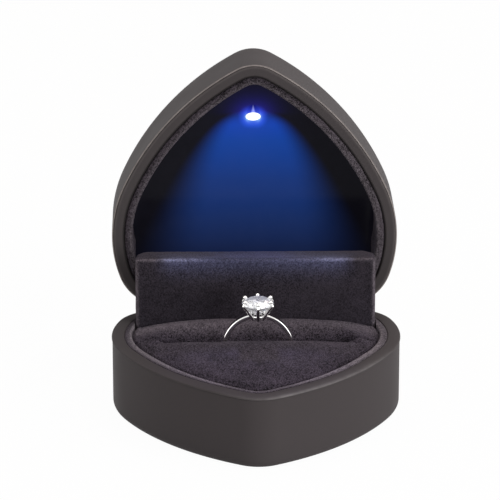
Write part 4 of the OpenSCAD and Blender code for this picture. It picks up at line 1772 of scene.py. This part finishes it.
    def facets(self) -> list[tuple[float, float, float, float]]:
        """Slope, azimuth, and distance and height of a point, of each plane that cuts the stone.

        Returns:
            One tuple for each plane, in the order of the cuts.
        """
        r, band = self.stone_r, self.girdle_h
        top = band + r * (1 - self.table) * math.tan(math.radians(self.crown_slope))
        planes: list[tuple[float, float, float, float]] = []
        for k in range(8):
            main, between = k * math.pi / 4, (k + 0.5) * math.pi / 4
            planes.append((self.crown_slope, main, r, band))
            planes.append((self.star_slope, between, r * self.table * math.cos(math.pi / 8), top))
            planes.append((self.pavilion_slope, main, r, -band))
            for off in (-math.pi / 16, math.pi / 16):
                planes.append((self.upper_slope, between + off, r, band))
                planes.append((self.lower_slope, between + off, r, -band))
        return planes + [(0.0, 0.0, 0.0, top)]

    def stone(self, finish: Material) -> Thing:
        """Round brilliant, cut facet by facet from a round blank.

        Args:
            finish: its material.

        Returns:
            The piece.
        """
        r, work = self.stone_r, bmesh.new()
        bmesh.ops.create_cone(work, cap_ends=True, segments=96, radius1=r, radius2=r, depth=2.4 * r)
        for slope, azimuth, reach, z in self.facets():
            tilt = math.radians(slope)
            up = math.copysign(math.cos(tilt), slope) if slope else 1.0
            x, y, across = math.cos(azimuth), math.sin(azimuth), abs(math.sin(tilt))
            geom = list(work.verts) + list(work.edges) + list(work.faces)
            plane = {"plane_co": (x * reach, y * reach, z), "plane_no": (x * across, y * across, up)}
            made = bmesh.ops.bisect_plane(work, geom=geom, clear_outer=True, dist=1e-5, **plane)
            rim = [edge for edge in made["geom_cut"] if isinstance(edge, bmesh.types.BMEdge)]
            if rim:
                bmesh.ops.edgenet_fill(work, edges=rim)
        bmesh.ops.dissolve_limit(work, angle_limit=0.002, verts=work.verts, edges=work.edges)
        turn = Matrix.Rotation(math.radians(self.stone_turn), 3, "Z")
        bmesh.ops.rotate(work, cent=(0, 0, 0), matrix=turn, verts=work.verts)
        bmesh.ops.translate(work, vec=(0.0, 0.0, self.girdle), verts=work.verts)
        bmesh.ops.scale(work, vec=(MM, MM, MM), verts=work.verts)
        bmesh.ops.recalc_face_normals(work, faces=work.faces)
        mesh = bpy.data.meshes.new("ring_stone")
        work.to_mesh(mesh)
        work.free()
        thing = self.settle(new_object("ring_stone_brilliant", mesh), finish, "ring_stone", Slot.STONE, 1.0)
        mesh.polygons.foreach_set("use_smooth", [False] * len(mesh.polygons))
        return thing


@dataclass
class Works:
    """CAD pieces that keep their shape: ceiling, hinge and what lies inside the halves."""

    nodes: dict[str, Thing]

    def make(self) -> None:
        """Dresses each group of pieces in its finish."""
        for finish, names in (
            (
                Metal("rolled_steel", (0.62, 0.62, 0.64), 0.28),
                ("base_hinge_leaf", "lid_hinge_leaf", "lamp_leads"),
            ),
            (
                Metal("turned_steel", (0.66, 0.65, 0.66), 0.2, 0.08, (1.0, 0.2, 0.2)),
                ("hinge_pin", "base_leaf_screws", "lid_leaf_screws", "board_screws"),
            ),
            (Metal("cell_steel", (0.7, 0.7, 0.7), 0.24, 0.2, (1.0, 0.1, 1.0)), ("battery_cell",)),
            (Metal("spring_brass", (0.7, 0.52, 0.25), 0.3), ("battery_clip", "battery_contact")),
            (
                Grainy("open_foam", (0.2, 0.2, 0.21), 0.45, 0.18, 0.95, 0.4, pores=True),
                ("cushion_foam", "pad_spacer", "cover_core"),
            ),
            (Grainy("pressed_card", (0.03, 0.03, 0.032), 0.3, 0.03, 0.9, 0.35), ("pad_board",)),
            (Grainy("solder_mask", (0.02, 0.12, 0.05), 0.8, 0.01, 0.35, 0.2), ("circuit_board",)),
            (
                Grainy("moulded_black", (0.02, 0.02, 0.022), 0.25, 0.01, 0.5, 0.25),
                ("resistor", "switch_body"),
            ),
            (Grainy("moulded_white", (0.72, 0.72, 0.7), 0.3, 0.008, 0.35, 0.05), ("switch_plunger",)),
            (LitCeiling(), ("ceiling_plate",)),
        ):
            material = finish.make()
            for name in names:
                dress(self.nodes[name], material)
                LOG.info("%s: %s", name, finish.name)


@dataclass(frozen=True)
class SoftBox:
    """A square lamp of the studio: its place in metres, its power in watts and its colour."""

    name: str
    at: tuple[float, float, float]
    power: float
    colour: Colour = WHITE
    size: float = 0.7


@dataclass(frozen=True)
class LidLight:
    """A light that rides the lid with its lamp. Places are in millimetres in the row frame."""

    name: str
    kind: str
    at: Vector
    aim: Vector
    power: float
    colour: Colour
    shape: dict[str, object]


@dataclass
class Studio:
    """Floor, soft lamps, world and camera."""

    target: tuple[float, float, float] = (-1.19, 31.2, 34.19)
    distance: float = 1413.9
    elevation: float = 19.94
    yaw: float = 1.01
    lens: float = 404.6
    lamp_aim: tuple[float, float, float] = (0.0, 0.0, 0.03)
    world_share: float = 0.2
    floor_share: float = 0.97
    floor_r: float = 1.6
    floor_z: float = -0.1 * MM
    boxes: tuple[SoftBox, ...] = (
        SoftBox("key_right", (0.9, -0.7, 0.35), 4.0),
        SoftBox("front_right", (0.9, -0.7, 0.35), 8.0),
        SoftBox("front_left", (-0.95, -0.6, 0.35), 3.3),
        SoftBox("edge_left", (-1.1, 0.25, 0.35), 0.5, (1.0, 0.8, 0.66)),
        SoftBox("top", (0.14, 0.1, 1.1), 5.2, (1.0, 0.93, 0.92)),
        SoftBox("back", (0.4, 0.75, 0.9), 1.9, (1.0, 0.78, 0.7)),
    )

    def aimed(self, name: str, data: object, at: Vector, along: Vector) -> Thing:
        """Links an object that looks along a direction from a place in metres.

        Args:
            name: the object's name.
            data: its camera or lamp data.
            at: its place.
            along: the direction it looks in.

        Returns:
            The object.
        """
        thing = bpy.data.objects.new(name, data)
        thing.location = at
        thing.rotation_mode = "QUATERNION"
        thing.rotation_quaternion = along.to_track_quat("-Z", "Y")
        bpy.context.scene.collection.objects.link(thing)
        return thing

    def camera(self) -> None:
        """Long lens at the height from which the box is usually shown."""
        a, e = math.radians(self.yaw), math.radians(self.elevation)
        back = Vector((-math.sin(a) * math.cos(e), -math.cos(a) * math.cos(e), math.sin(e)))
        data = bpy.data.cameras.new("camera")
        data.lens, data.sensor_width = self.lens, 36.0
        data.clip_start, data.clip_end = 0.05, 20.0
        at = (Vector(self.target) + back * self.distance) * MM
        bpy.context.scene.camera = self.aimed("camera", data, at, -back)

    def lamps(self) -> None:
        """Soft boxes round the object, all facing it."""
        for box in self.boxes:
            data = bpy.data.lights.new(box.name, "AREA")
            data.shape, data.size, data.size_y = "RECTANGLE", box.size, box.size
            data.energy, data.color = box.power, box.colour
            self.aimed(box.name, data, Vector(box.at), Vector(self.lamp_aim) - Vector(box.at))

    def beam(self) -> None:
        """The light of the lid's lamp: on the block below it, on the cushion and over the block's edge."""
        lens = LID_PLACE @ (Vector((0.0, -43.4, 15.6)) * MM) / MM
        wide, narrow = ({"spot_size": math.radians(angle), "spot_blend": 1.0} for angle in (62.0, 50.0))
        strip = {"shape": "RECTANGLE", "size": 0.046, "size_y": 0.002, "spread": math.radians(56.0)}
        block, cushion = Vector((0.0, 38.7, 36.4)), Vector((0.0, -20.0, 18.0))
        wide["shadow_soft_size"], narrow["shadow_soft_size"] = 0.004, 0.002
        edge, over_edge = Vector((0.0, 20.5, 34.8)), Vector((0.0, 15.0, 38.5))
        for light in (
            LidLight("lamp_beam", "SPOT", lens, block, 0.09, (0.04, 0.33, 1.0), wide),
            LidLight("lamp_pool", "SPOT", lens, cushion, 0.045, (0.2, 0.12, 1.0), narrow),
            LidLight("lamp_spill", "AREA", over_edge, edge, 0.0016, (0.45, 0.62, 1.0), strip),
        ):
            data = bpy.data.lights.new(light.name, light.kind)
            data.energy, data.color = light.power, light.colour
            for name, value in light.shape.items():
                setattr(data, name, value)
            thing = self.aimed(light.name, data, light.at * MM, light.aim * MM - light.at * MM)
            thing.visible_camera = thing.visible_glossy = False
            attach(thing, Body.LID.value)

    def world(self) -> None:
        """White to the eye and to gloss, dimmer as a lamp."""
        world = bpy.data.worlds.new("studio")
        bpy.context.scene.world = world
        world.use_nodes = True
        sky = Tree(world.node_tree)
        level = sky.node("ShaderNodeMapRange", {0: sky.seen(), "To Min": self.world_share, "To Max": 1.0})
        back = world.node_tree.nodes["Background"]
        back.inputs["Color"].default_value = (*WHITE, 1.0)
        sky.put(back.inputs["Strength"], level.outputs[0])

    def floor(self) -> None:
        """Pale round floor that stays white to the eye and keeps a faint shadow."""
        turns = np.linspace(0, 2 * math.pi, 65)[:-1]
        points = [(self.floor_r * math.cos(a), self.floor_r * math.sin(a), self.floor_z) for a in turns]
        mesh = bpy.data.meshes.new("floor")
        mesh.from_pydata(points, [], [list(range(len(points)))])
        thing = new_object("floor", mesh)
        s = Shader("pale_floor")
        s.skin_is(
            Base_Color=s.ramp(s.noise(60.0), (0.3, (0.88, 0.88, 0.88)), (0.7, (0.9, 0.9, 0.9))),
            Roughness=0.9,
            Specular_IOR_Level=0.1,
        )
        shine = s.node("ShaderNodeEmission").outputs[0]
        share = s.math("MULTIPLY", s.seen(), self.floor_share)
        both = s.node("ShaderNodeMixShader", {0: share, 1: s.skin.outputs[0], 2: shine}).outputs[0]
        s.put(s.end.inputs["Surface"], both)
        dress(thing, s.material)

    def make(self) -> None:
        """Builds the whole studio."""
        self.camera()
        self.world()
        self.floor()
        self.lamps()
        self.beam()
        bpy.context.scene.view_settings.view_transform = "Standard"


def build_pieces(nodes: dict[str, Thing]) -> None:
    """Builds and dresses every piece of the box and the ring.

    Args:
        nodes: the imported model's pieces by name.
    """
    base_coat = SoftTouch("soft_touch_base", highlight_colour=(0.25, 0.237, 0.24)).make()
    cavity = ((3.2, 16.8), (3.2, 8.0))
    base = Shell("base_shell", BASE, height=18.4, edge_r=1.8, cavity=cavity, rim=RimEdge.PROUD)
    base.make(base_coat)
    cavity = ((4.7, 22.2), (4.7, 19.2), (3.2, 19.2), (3.2, 9.0))
    lid = Shell("lid_shell", LID, height=23.8, edge_r=4.8, cavity=cavity, rim=RimEdge.SUNK)
    lid.wall_in, lid.groove_w, lid.brow_r = 0.1, 0.12, 0.3
    lid.make(SoftTouch().make())
    # The lip velvet's second colour is the pale colour of its painted sheen.
    lip_velvet = Velvet("velvet_lip", (0.037, 0.0305, 0.037), (0.27, 0.24, 0.26), grain=0.24).make()
    VelvetLip("base_liner", BASE, 16.7, seed=1.3, shoulder=0.16).make(lip_velvet)
    VelvetLip("lid_liner", LID, 17.9, seed=5.9, shoulder=0.75, painted_sheen=(0.25, 0.5)).make(lip_velvet)
    RingCushion().make(Velvet("velvet_cushion", nap=(1.0, 0.4, 1.0)).make())
    HingeCover().make(Velvet("velvet_cover", (0.024, 0.02, 0.026), contrast=0.66).make())
    Lamp().make()
    ring = SolitaireRing()
    white_gold = Metal("white_gold", (0.86, 0.85, 0.84), 0.07, 0.05, (1, 1, 1), 0.0008).make()
    ring.band(white_gold)
    ring.setting(white_gold)
    ring.stone(CutStone().make())
    Works(nodes).make()


def main() -> None:
    """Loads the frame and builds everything."""
    logging.basicConfig(level=logging.INFO, format="%(name)s: %(message)s")
    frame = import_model()
    Studio().make()
    build_pieces(frame["nodes"])
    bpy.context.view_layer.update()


if __name__ == "__main__":
    main()
